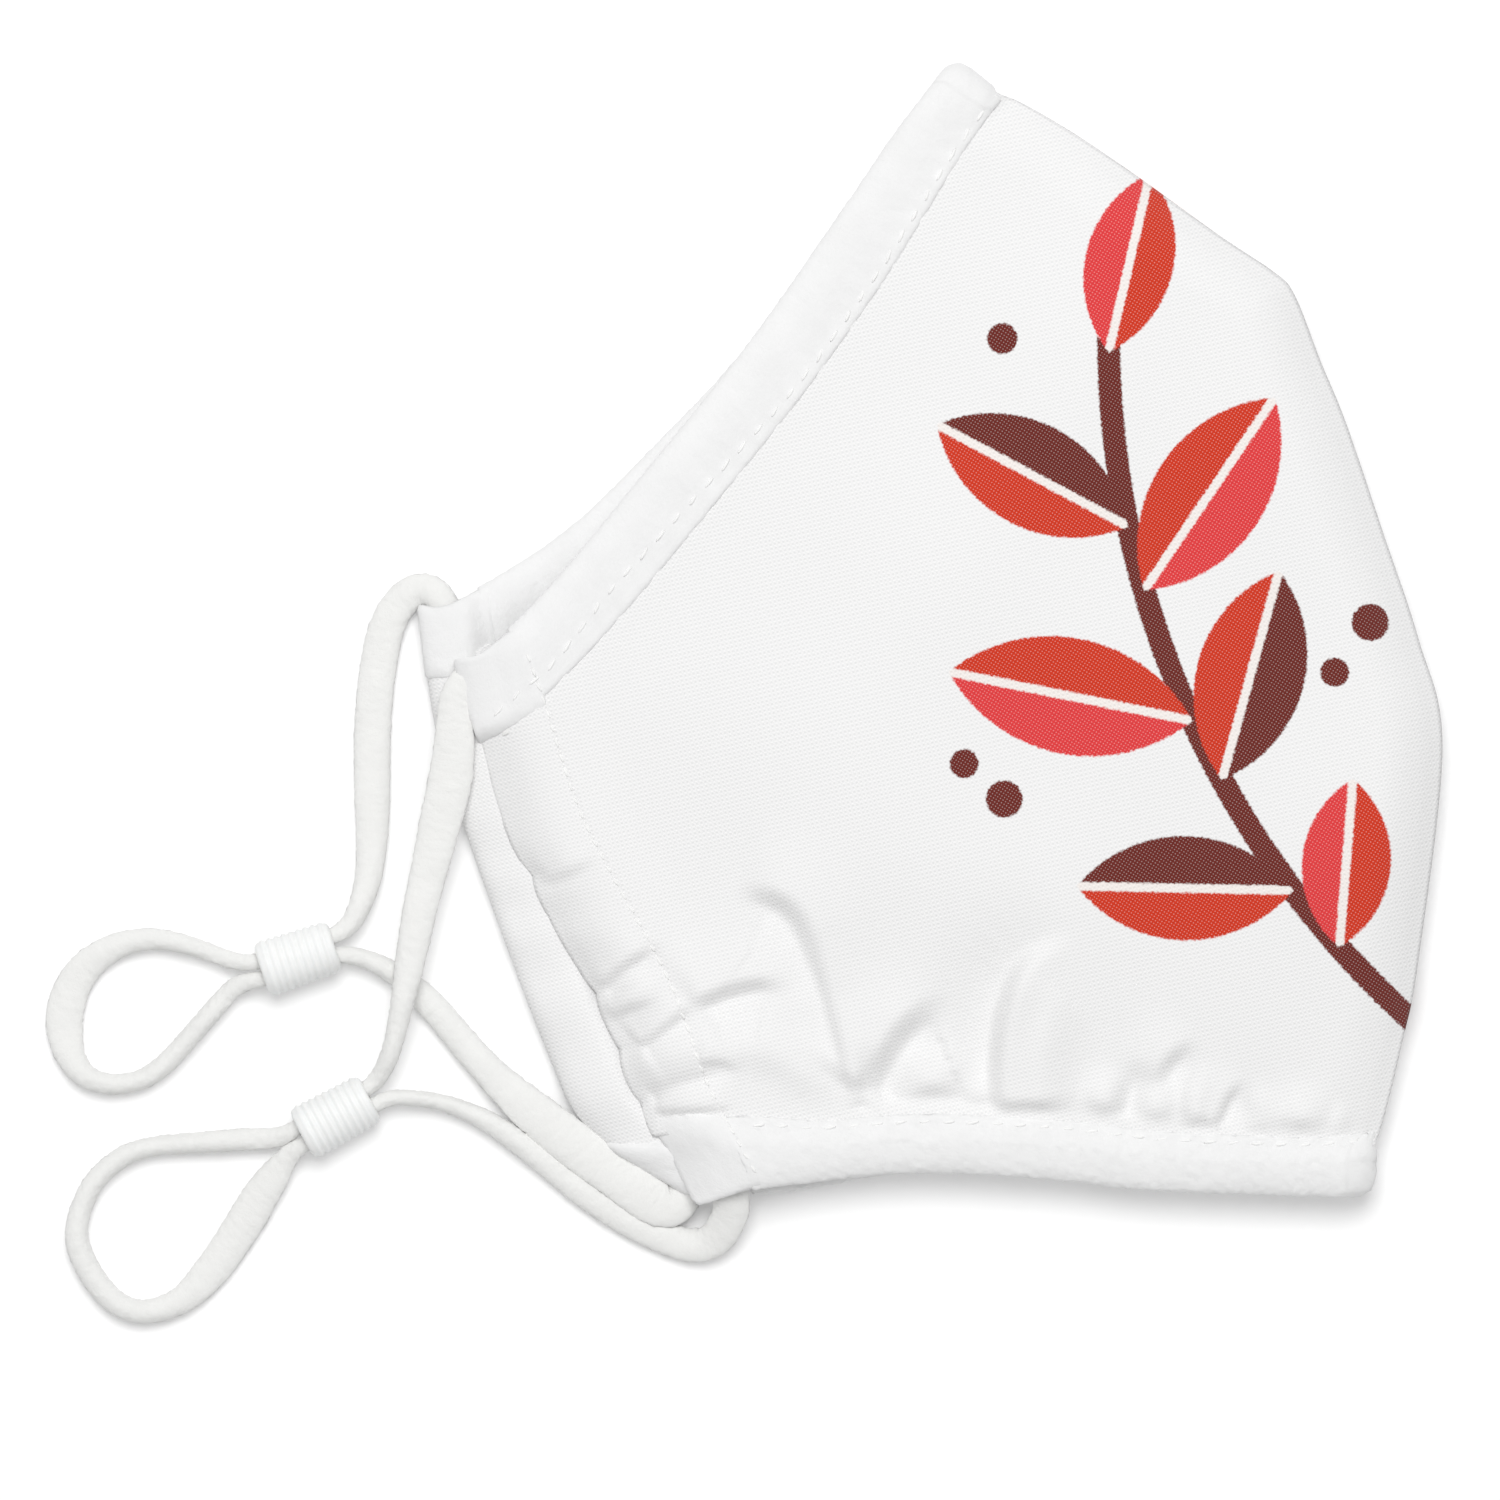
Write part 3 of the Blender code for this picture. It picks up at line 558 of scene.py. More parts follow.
def cloth_piece(name: str, places: np.ndarray, cloth: np.ndarray, thickness: float, edge: np.ndarray,
                material: bpy.types.Material, fuzz: float = 0.0) -> bpy.types.Object:
    """Cloth of a given thickness on a grid of places, with rounded edges, kept on top of the table.

    Args:
        name: Name of the piece.
        places: World places of the middle of the cloth.
        cloth: Places on the flat cloth in millimetres.
        thickness: Thickness of the cloth.
        edge: Share of the thickness at each place.
        material: Finish of the piece.
        fuzz: Height of the nap, where the cloth is brushed.

    Returns:
        The finished piece.
    """
    places[..., 2] = np.maximum(places[..., 2], thickness / 2 + fuzz)
    piece = new_piece(name, grid_mesh(name, places, cloth, edge), material)
    piece.vertex_groups.new(name="edge")
    wall = piece.modifiers.new("thickness", "SOLIDIFY")
    wall.thickness = thickness
    wall.offset = 0.0
    wall.vertex_group = "edge"
    settle(piece)
    if fuzz:
        raise_nap(piece.data, fuzz)
    return piece


def raise_nap(mesh: bpy.types.Mesh, height: float, grain: float = 0.0006, fine_grain: float = 0.45,
              fine_height: float = 0.6) -> None:
    """Roughen a brushed surface in its mesh.

    Args:
        mesh: Mesh to change.
        height: Height of the nap.
        grain: Size of its tufts.
        fine_grain: Share of that size which the finer tufts have.
        fine_height: Share of the height which they have.
    """
    count = len(mesh.vertices)
    spots = np.empty(count * 3)
    normals = np.empty(count * 3)
    mesh.vertices.foreach_get("co", spots)
    mesh.vertices.foreach_get("normal", normals)
    spots, normals = spots.reshape(-1, 3), normals.reshape(-1, 3)
    nap = np.array([noise.noise(Vector(p) / grain)
                    + fine_height * noise.noise(Vector(p) / (grain * fine_grain)) for p in spots])
    mesh.vertices.foreach_set("co", (spots + normals * nap[:, None] * height).astype(np.float32).ravel())
    mesh.update()


def add_node(tree: Tree, kind: str, inputs: Optional[dict] = None, **settings) -> bpy.types.Node:
    """Add a node with its settings and links.

    Args:
        tree: Node tree of the material.
        kind: Type name of the node.
        inputs: Value or linked socket for each named or numbered input.
        settings: Properties of the node.

    Returns:
        The node.
    """
    node = tree.nodes.new(kind)
    for key, value in settings.items():
        setattr(node, key, value)
    for key, value in (inputs or {}).items():
        if isinstance(value, Socket):
            tree.links.new(value, node.inputs[key])
        else:
            node.inputs[key].default_value = value
    return node


def start_material(name: str, **sockets) -> tuple[bpy.types.Material, bpy.types.Node]:
    """Make a material and set the numbers of its shader that are the same all over.

    Args:
        name: Name of the material.
        sockets: Values by the shader's socket names, with underscores for spaces.

    Returns:
        The material and its Principled shader.
    """
    material = bpy.data.materials.new(name)
    material.use_nodes = True
    shader = material.node_tree.nodes["Principled BSDF"]
    for key, value in sockets.items():
        shader.inputs[key.replace("_", " ")].default_value = value
    return material, shader


@dataclass(frozen=True)
class Leaf:
    """Printed leaf: share along the stem, side of it, length and width in millimetres, and two colours."""

    share: float
    turn: float
    length: float
    width: float
    light: str
    dark: str


@dataclass(frozen=True)
class SprigPrint:
    """Generic sprig printed towards the front of the mask: a stem, broad leaves and berries."""

    ink: str = "#D03212"
    deep: str = "#6A1F16"
    bright: str = "#E0393C"
    rib: str = "#F4EEEA"
    stem_centre: Point = (136.9, 36.6)
    stem_radius: float = 114.9
    stem_angles: Point = (-134.0, -179.5)
    stem_half_width: float = 1.45
    stem_span: Point = (-80.0, 36.5)
    rib_half_width: float = 0.55
    soft_edge: float = 0.12
    tone_blend: float = 0.15
    bleed: float = 0.5
    bleeds_per_mm: float = 2.6
    berries: tuple[tuple[float, float, float], ...] = (
        (54.6, 1.0, 2.3), (50.2, -5.2, 1.8), (9.0, -21.0, 2.3), (4.0, -16.6, 1.8), (8.8, 36.4, 1.9),
    )

    def leaves(self) -> list[Leaf]:
        """List the leaves.

        Returns:
            The leaves from the chin side to the nose side.
        """
        return [
            Leaf(0.10, -46.0, 21.0, 11.0, self.bright, self.ink),
            Leaf(0.20, 52.0, 27.0, 13.0, self.ink, self.deep),
            Leaf(0.38, -44.0, 27.0, 13.5, self.ink, self.deep),
            Leaf(0.47, 54.0, 31.0, 14.5, self.bright, self.ink),
            Leaf(0.66, -50.0, 29.0, 14.0, self.ink, self.bright),
            Leaf(0.75, 50.0, 27.0, 13.0, self.ink, self.deep),
            Leaf(0.99, -14.0, 23.0, 11.0, self.bright, self.ink),
        ]

    def leaf_ends(self, leaf: Leaf) -> tuple[Vector, Vector]:
        """Find the ends of a leaf.

        Args:
            leaf: The leaf.

        Returns:
            Its base on the stem and its tip, in millimetres on the flat cloth.
        """
        first, last = self.stem_angles
        angle = math.radians(first + (last - first) * leaf.share)
        base = Vector(self.stem_centre) + self.stem_radius * Vector((math.cos(angle), math.sin(angle)))
        ahead = angle - math.pi / 2 + math.radians(leaf.turn)
        return base, base + leaf.length * Vector((math.cos(ahead), math.sin(ahead)))

    def paint(self, tree: Tree, flat: Socket, ground: Socket) -> Socket:
        """Print the design over the plain cloth.

        Args:
            tree: Node tree of the cloth.
            flat: Place on the cloth in millimetres.
            ground: Colour of the plain cloth.

        Returns:
            Colour of the printed cloth.
        """
        bleed = add_node(tree, "ShaderNodeTexNoise",
                         {"Vector": flat, "Scale": self.bleeds_per_mm, "Detail": 1.0})
        shift = add_node(tree, "ShaderNodeMath", {0: bleed.outputs[0], 1: self.bleed, 2: -self.bleed / 2},
                         operation="MULTIPLY_ADD").outputs[0]
        colour = self.stem(tree, flat, shift, ground)
        for leaf in self.leaves():
            colour = self.leaf(tree, flat, shift, leaf, colour)
        for x, y, radius in self.berries:
            gap = add_node(tree, "ShaderNodeVectorMath", {0: flat, 1: (x, y, 0.0)},
                           operation="DISTANCE").outputs[1]
            inside = self.edge(tree, gap, radius, shift)
            colour = self.cover(tree, inside, colour, self.deep)
        return colour

    def edge(self, tree: Tree, distance: Socket, limit: float, shift: Socket) -> Socket:
        """Fill a printed outline, with the soft edge of ink on thread.

        Args:
            tree: Node tree of the cloth.
            distance: Distance that grows from the inside out, in millimetres.
            limit: Distance of the outline.
            shift: Wander of the ink's edge.

        Returns:
            One inside the outline and zero outside.
        """
        worn = add_node(tree, "ShaderNodeMath", {0: distance, 1: shift}, operation="ADD").outputs[0]
        return add_node(tree, "ShaderNodeMapRange",
                        {"Value": worn, "From Min": limit + self.soft_edge,
                         "From Max": limit - self.soft_edge}).outputs[0]

    @staticmethod
    def cover(tree: Tree, share: Socket, under: Socket, ink: str) -> Socket:
        """Lay an ink over a colour."""
        return add_node(tree, "ShaderNodeMix", {0: share, 6: under, 7: linear(ink)},
                        data_type="RGBA").outputs[2]

    def stem(self, tree: Tree, flat: Socket, shift: Socket, under: Socket) -> Socket:
        """Print the curved stem.

        Args:
            tree: Node tree of the cloth.
            flat: Place on the cloth in millimetres.
            shift: Wander of the ink's edge.
            under: Colour so far.

        Returns:
            Colour with the stem.
        """
        gap = add_node(tree, "ShaderNodeVectorMath", {0: flat, 1: (*self.stem_centre, 0.0)},
                       operation="DISTANCE").outputs[1]
        off = add_node(tree, "ShaderNodeMath", {0: gap, 1: self.stem_radius}, operation="SUBTRACT").outputs[0]
        away = add_node(tree, "ShaderNodeMath", {0: off}, operation="ABSOLUTE").outputs[0]
        band = self.edge(tree, away, self.stem_half_width, shift)
        height = add_node(tree, "ShaderNodeSeparateXYZ", {0: flat}).outputs["Y"]
        low, high = self.stem_span
        middle = add_node(tree, "ShaderNodeMath", {0: height, 1: (low + high) / 2},
                          operation="SUBTRACT").outputs[0]
        reach = add_node(tree, "ShaderNodeMath", {0: middle}, operation="ABSOLUTE").outputs[0]
        kept = self.edge(tree, reach, (high - low) / 2, shift)
        share = add_node(tree, "ShaderNodeMath", {0: band, 1: kept}, operation="MULTIPLY").outputs[0]
        return self.cover(tree, share, under, self.deep)

    def leaf(self, tree: Tree, flat: Socket, shift: Socket, leaf: Leaf, under: Socket) -> Socket:
        """Print one leaf: two arcs that meet at its ends, a rib down the middle and a darker half.

        Args:
            tree: Node tree of the cloth.
            flat: Place on the cloth in millimetres.
            shift: Wander of the ink's edge.
            leaf: The leaf.
            under: Colour so far.

        Returns:
            Colour with the leaf.
        """
        base, tip = self.leaf_ends(leaf)
        axis = tip - base
        middle = (base + tip) / 2
        radius = (axis.length_squared + leaf.width ** 2) / (4 * leaf.width)
        own = add_node(tree, "ShaderNodeMapping",
                       {"Vector": flat, "Location": (*middle, 0.0),
                        "Rotation": (0.0, 0.0, math.atan2(axis.y, axis.x))}, vector_type="TEXTURE").outputs[0]
        parts = add_node(tree, "ShaderNodeSeparateXYZ", {0: own})
        aside = add_node(tree, "ShaderNodeMath", {0: parts.outputs["Y"]}, operation="ABSOLUTE").outputs[0]
        deep = add_node(tree, "ShaderNodeMath", {0: aside, 1: radius - leaf.width / 2},
                        operation="ADD").outputs[0]
        arc = add_node(tree, "ShaderNodeCombineXYZ", {"X": parts.outputs["X"], "Y": deep}).outputs[0]
        gap = add_node(tree, "ShaderNodeVectorMath", {0: arc}, operation="LENGTH").outputs[1]
        inside = self.edge(tree, gap, radius, shift)
        half = add_node(tree, "ShaderNodeMapRange",
                        {"Value": parts.outputs["Y"], "From Min": -self.tone_blend,
                         "From Max": self.tone_blend}).outputs[0]
        rib = self.edge(tree, aside, self.rib_half_width, shift)
        two_tone = add_node(tree, "ShaderNodeMix", {0: half, 6: linear(leaf.dark), 7: linear(leaf.light)},
                            data_type="RGBA").outputs[2]
        ribbed = self.cover(tree, rib, two_tone, self.rib)
        return add_node(tree, "ShaderNodeMix", {0: inside, 6: under, 7: ribbed},
                        data_type="RGBA").outputs[2]


@dataclass(frozen=True)
class WovenCloth:
    """Plain-woven polyester, heat printed: matte, with fine thread ribs that show pinholes in the print.

    The real threads are about 0.19 mm apart; the ribs are drawn almost three times as far apart so that
    they show.
    """

    name: str = "printed_plain_weave"
    white: str = "#F4F4F4"
    grey: str = "#F0F0F0"
    bare: str = "#F6EDEA"
    thread_mm: float = 0.54
    slant: float = math.radians(-13.0)
    relief: float = 0.000022
    wander_mm: float = 0.12
    wanders_per_mm: float = 0.9
    slubs_per_mm: float = 1.7
    weft_share: float = 0.55
    shading: Point = (0.88, 1.05)
    pinhole: float = 0.34

    def build(self, design: SprigPrint) -> bpy.types.Material:
        """Make the material.

        Args:
            design: Print towards the front.

        Returns:
            The material.
        """
        material, shader = start_material(self.name, Roughness=0.86, Specular_IOR_Level=0.25,
                                          Sheen_Weight=0.12, Sheen_Roughness=0.6)
        tree = material.node_tree
        flat = add_node(tree, "ShaderNodeAttribute", attribute_name="cloth_mm").outputs["Vector"]
        turned = add_node(tree, "ShaderNodeMapping",
                          {"Vector": flat, "Rotation": (0.0, 0.0, self.slant)}).outputs[0]
        drift = add_node(tree, "ShaderNodeTexNoise",
                         {"Vector": flat, "Scale": self.wanders_per_mm, "Detail": 2.0}).outputs[1]
        wander = add_node(tree, "ShaderNodeVectorMath", {0: drift, 1: (self.wander_mm,) * 3, 2: turned},
                          operation="MULTIPLY_ADD").outputs[0]
        parts = add_node(tree, "ShaderNodeSeparateXYZ", {0: wander})
        turn = 2 * math.pi / self.thread_mm
        waves = []
        for axis in ("X", "Y"):
            angle = add_node(tree, "ShaderNodeMath", {0: parts.outputs[axis], 1: turn},
                             operation="MULTIPLY").outputs[0]
            waves.append(add_node(tree, "ShaderNodeMath", {0: angle}, operation="SINE").outputs[0])
        crossing = add_node(tree, "ShaderNodeMath", {0: waves[0], 1: waves[1]},
                            operation="MULTIPLY").outputs[0]
        ribs = add_node(tree, "ShaderNodeMath", {0: waves[1], 1: self.weft_share, 2: crossing},
                        operation="MULTIPLY_ADD").outputs[0]
        slub = add_node(tree, "ShaderNodeTexNoise",
                        {"Vector": flat, "Scale": self.slubs_per_mm, "Detail": 3.0}).outputs[0]
        plain = add_node(tree, "ShaderNodeMix", {0: slub, 6: linear(self.white), 7: linear(self.grey)},
                         data_type="RGBA").outputs[2]
        printed = design.paint(tree, flat, plain)
        # painted shade: the colour is lighter on the thread ribs and darker between them, from the same ribs
        # as the bump
        low, high = self.shading
        lift = add_node(tree, "ShaderNodeMapRange", {"Value": ribs, "From Min": -1.4, "From Max": 1.4,
                                                     "To Min": low, "To Max": high}).outputs[0]
        shade = add_node(tree, "ShaderNodeVectorMath", {0: printed, 3: lift}, operation="SCALE").outputs[0]
        pinhole = add_node(tree, "ShaderNodeMapRange", {"Value": crossing, "From Min": 0.45, "From Max": 1.0,
                                                        "To Max": self.pinhole}).outputs[0]
        colour = add_node(tree, "ShaderNodeMix", {0: pinhole, 6: shade, 7: linear(self.bare)},
                          data_type="RGBA").outputs[2]
        tree.links.new(colour, shader.inputs["Base Color"])
        bump = add_node(tree, "ShaderNodeBump", {"Height": ribs, "Distance": self.relief, "Strength": 0.8})
        tree.links.new(bump.outputs[0], shader.inputs["Normal"])
        return material


@dataclass(frozen=True)
class BrushedCloth:
    """Brushed knit, napped on its face: very matte, with a pale sheen and soft tufts."""

    name: str
    colour: str
    tuft_mm: float
    relief: float
    sheen: float = 0.25
    patches_per_mm: float = 0.22
    tuft_share: float = 0.6
    shading: Point = (0.955, 1.02)

    def build(self) -> bpy.types.Material:
        """Make the material.

        Returns:
            The material.
        """
        material, shader = start_material(self.name, Roughness=0.95, Specular_IOR_Level=0.15,
                                          Sheen_Weight=self.sheen, Sheen_Roughness=0.7)
        tree = material.node_tree
        flat = add_node(tree, "ShaderNodeAttribute", attribute_name="cloth_mm").outputs["Vector"]
        tufts = add_node(tree, "ShaderNodeTexNoise", {"Vector": flat, "Scale": 1 / self.tuft_mm,
                                                      "Detail": 4.0, "Roughness": 0.65}).outputs[0]
        patches = add_node(tree, "ShaderNodeTexNoise",
                           {"Vector": flat, "Scale": self.patches_per_mm, "Detail": 2.0}).outputs[0]
        both = add_node(tree, "ShaderNodeMath", {0: tufts, 1: self.tuft_share, 2: patches},
                        operation="MULTIPLY_ADD").outputs[0]
        # painted shade of the tufts, lighter on those that the bump raises, mixed with broad patches of
        # random tone
        low, high = self.shading
        lift = add_node(tree, "ShaderNodeMapRange", {"Value": both, "From Min": 0.4, "From Max": 1.2,
                                                     "To Min": low, "To Max": high}).outputs[0]
        shade = add_node(tree, "ShaderNodeVectorMath", {0: linear(self.colour)[:3], 3: lift},
                         operation="SCALE").outputs[0]
        tree.links.new(shade, shader.inputs["Base Color"])
        bump = add_node(tree, "ShaderNodeBump", {"Height": tufts, "Distance": self.relief, "Strength": 0.7})
        tree.links.new(bump.outputs[0], shader.inputs["Normal"])
        return material


@dataclass(frozen=True)
class Silicone:
    """Moulded silicone rubber: satin, slightly translucent, off-white."""

    name: str = "moulded_silicone"
    colour: str = "#F5F6F5"
    grains_per_metre: float = 900.0
    shading: Point = (0.95, 1.02)
    relief: float = 0.00004

    def build(self) -> bpy.types.Material:
        """Make the material.

        Returns:
            The material.
        """
        material, shader = start_material(self.name, Roughness=0.42, IOR=1.41, Subsurface_Weight=0.3,
                                          Subsurface_Scale=0.002, Subsurface_Radius=(1.0, 0.95, 0.9))
        tree = material.node_tree
        place = add_node(tree, "ShaderNodeTexCoord").outputs["Object"]
        grain_noise = add_node(tree, "ShaderNodeTexNoise",
                        {"Vector": place, "Scale": self.grains_per_metre, "Detail": 3.0}).outputs[0]
        # painted shade: the colour is lighter on the grain's raised spots and darker in its low ones, from
        # the same noise as the bump
        low, high = self.shading
        lift = add_node(tree, "ShaderNodeMapRange", {"Value": grain_noise, "To Min": low, "To Max": high}).outputs[0]
        shade = add_node(tree, "ShaderNodeVectorMath", {0: linear(self.colour)[:3], 3: lift},
                         operation="SCALE").outputs[0]
        tree.links.new(shade, shader.inputs["Base Color"])
        bump = add_node(tree, "ShaderNodeBump", {"Height": grain_noise, "Distance": self.relief, "Strength": 0.3})
        tree.links.new(bump.outputs[0], shader.inputs["Normal"])
        return material


@dataclass(frozen=True)
class SoftWire:
    """Soft aluminium strip, rolled: dull metal with fine lengthwise marks."""

    name: str = "rolled_aluminium"
    colour: str = "#CDCFD1"
    stretch: tuple[float, float, float] = (0.05, 6.0, 1.0)
    marks_per_mm: float = 3.0
    roughness: Point = (0.3, 0.5)

    def build(self) -> bpy.types.Material:
        """Make the material.

        Returns:
            The material.
        """
        material, shader = start_material(self.name, Metallic=1.0, Base_Color=linear(self.colour))
        tree = material.node_tree
        flat = add_node(tree, "ShaderNodeAttribute", attribute_name="cloth_mm").outputs["Vector"]
        drawn = add_node(tree, "ShaderNodeMapping", {"Vector": flat, "Scale": self.stretch}).outputs[0]
        marks = add_node(tree, "ShaderNodeTexNoise",
                         {"Vector": drawn, "Scale": self.marks_per_mm, "Detail": 3.0}).outputs[0]
        low, high = self.roughness
        rough = add_node(tree, "ShaderNodeMapRange",
                         {"Value": marks, "To Min": low, "To Max": high}).outputs[0]
        tree.links.new(rough, shader.inputs["Roughness"])
        return material


@dataclass
class Finishes:
    """The mask's materials, each made once."""

    woven: bpy.types.Material = field(default_factory=lambda: WovenCloth().build(SprigPrint()))
    brushed: bpy.types.Material = field(
        default_factory=lambda: BrushedCloth("brushed_stretch_knit", "#F1F1F1", 0.45, 0.00012).build())
    lining: bpy.types.Material = field(
        default_factory=lambda: BrushedCloth("soft_lining_knit", "#F1F1F0", 0.7, 0.00015).build())
    elastic: bpy.types.Material = field(
        default_factory=lambda: BrushedCloth("fuzzy_knitted_elastic", "#F1F1EF", 0.35, 0.00015, 0.3).build())
    thread: bpy.types.Material = field(
        default_factory=lambda: BrushedCloth("sewing_thread", "#F7F7F6", 0.2, 0.00005, 0.1).build())
    silicone: bpy.types.Material = field(default_factory=lambda: Silicone().build())
    wire: bpy.types.Material = field(default_factory=lambda: SoftWire().build())


class Attachment:
    """How a half's pieces follow the frame."""

    BEND_REACH = 0.045

    def __init__(self, side: Side) -> None:
        """Find the half's body and the line on which the right half opens.

        Args:
            side: Which half.
        """
        self.side = side
        self.body = f"{side.name.lower()}_half"
        joint = next(j for j in frame["joints"] if j["name"] == "mask_open")
        crease = Vector(joint["axis"]).normalized()
        self.start = Vector(joint["pos_m"])
        self.end = self.start + Vector((-crease.y, crease.x, 0.0)) * self.BEND_REACH

    def fasten(self, piece: bpy.types.Object, bends: bool) -> None:
        """Let a piece ride on its half; a piece of the right half that reaches the front seam is left where
        it is, on no body.

        Args:
            piece: Finished piece.
            bends: Whether the piece reaches the front seam.
        """
        if bends and self.side is Side.RIGHT:
            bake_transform(piece)
        else:
            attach(piece, self.body)


@dataclass
class ClothPanels:
    """Outer panel and lining of one half."""

    cloth: HalfCloth
    hold: Attachment
    outer_thickness: float = 0.0004
    lining_thickness: float = 0.0005
    layer_gap: float = 0.0003
    overlap: float = 0.0030
    fine: float = 0.00062
    coarse: float = 0.0012
    grid_size: Point = (0.112, 0.120)
    ear_lap: float = 0.0012
    lining_inset: float = 0.004
    corner_draw: float = 0.0050
    corner_start: float = 0.0026
    corner_ramp: float = 0.0016
    seam_share: float = 0.12
    seam_ramp: float = 0.003
    tuck: float = 0.0004
    tuck_ramp: float = 0.0008
    rim_radius: float = 0.0005

    def domain(self, seam_inset: float, cell: float) -> tuple[np.ndarray, np.ndarray]:
        """Patch places of a layer, out to the edges that the strips cover.

        Args:
            seam_inset: Distance from the front seam at which the layer stops.
            cell: Distance between grid points.

        Returns:
            The u and v of each grid point.
        """
        cloth = self.cloth
        shares = [np.linspace(0.0, 1.0, round(size / cell) + 1) for size in self.grid_size]
        share_u, share_v = np.meshgrid(*shares)
        low = (cloth.binding - self.overlap) / cloth.across(share_u)
        high = 1 - (cloth.hem - self.overlap) / cloth.across(share_u)
        v = mix(low, high, share_v)
        along, across = cloth.along(v), cloth.across(share_u)
        bare = np.minimum((1 - v) * across - cloth.hem, v * across - cloth.binding)
        corner = 1 - smooth((bare + self.corner_start) / self.corner_ramp)
        drawn_back = seam_inset + self.corner_draw * corner
        u = mix((cloth.casing - self.ear_lap) / along, 1.0 - drawn_back / along, share_u)
        return u, v

    def build(self, layer: Layer, material: bpy.types.Material) -> bpy.types.Object:
        """Model one layer.

        Args:
            layer: Outer panel or lining.
            material: Its finish.

        Returns:
            The fastened piece.
        """
        cloth, side = self.cloth, self.cloth.side
        outer = layer is Layer.OUTER
        u, v = self.domain(0.0 if outer else self.lining_inset,
                           self.fine if outer and side is Side.RIGHT else self.coarse)
        thickness = self.outer_thickness if outer else self.lining_thickness
        from_seam = (1 - u) * cloth.along(v)
        from_ear = u * cloth.along(v) - cloth.casing
        closed = mix(self.seam_share, 1.0, smooth(from_seam / self.seam_ramp))
        offset = layer.value * (self.layer_gap + thickness) / 2 * closed + cloth.folds(u, v)
        tucked = self.tuck * (1 - smooth((from_ear + self.tuck_ramp) / self.tuck_ramp)) if outer else 0.0
        places = cloth.place(u, v, offset - tucked)
        flat = cloth.plan(u, v) / MM
        kind = "outer_panel" if outer else "lining"
        name = f"{side.name.lower()}_{kind}_cloth"
        free = "nsw" if outer else "nsew"
        piece = cloth_piece(name, places, flat, thickness, rounded_rim(places, self.rim_radius, free),
                            material)
        nodes = {Side.LEFT: (f"left_{kind}",),
                 Side.RIGHT: tuple(f"right_{kind.split('_')[0]}_{part}"
                                   for part in ("cheek", "ridge"))}[side]
        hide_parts(*nodes)
        self.hold.fasten(piece, True)
        f"{side.name.lower()}_top_hem"
        f"{side.name.lower()}_bottom_binding"
        return piece


@dataclass(frozen=True)
class StripForm:
    """Sizes in which the hem and the binding differ.

    The crest is the share of the width over which the strip is round, and puckers are in millimetres. Near
    the ear and near the front the width changes by a share, given with the place along the strip at which
    that starts and the distance it takes. The front gaps are the distances before the front seam at which
    the strip turns round it, at shares of the width from the folded edge.
    """

    node: str
    crest: float
    half_depth: float
    nap: float
    pucker: float
    usual_width: float
    ear_change: tuple[float, float, float]
    front_change: tuple[float, float, float]
    front_shares: tuple[float, ...]
    front_gaps: tuple[float, ...]


STRIP_FORMS = {
    Rim.TOP: StripForm("top_hem", 0.32, 0.00125, 0.00008, 0.06, 1.17, (0.0, 0.0, 1.0), (-0.12, 0.066, 0.026),
                       (0.0, 0.1, 0.25, 0.5, 0.85, 1.0),
                       (0.0006, 0.0002, 0.0008, 0.0017, 0.0026, 0.0020)),
    Rim.BOTTOM: StripForm("bottom_binding", 0.55, 0.00165, 0.00019, 0.10, 1.0, (0.30, 0.008, 0.012),
                          (0.12, 0.074, 0.008), (0.0, 0.1, 0.3, 0.55, 0.75, 0.87, 1.0),
                          (0.0018, 0.0013, 0.0020, 0.0031, 0.0031, 0.0026, 0.0016)),
}

# Waves that the drawn-up stitching leaves in the strips: share of their height, pitch in millimetres, start
PUCKERS = ((1.0, 3.0, 0.0), (0.7, 7.3, 1.0))


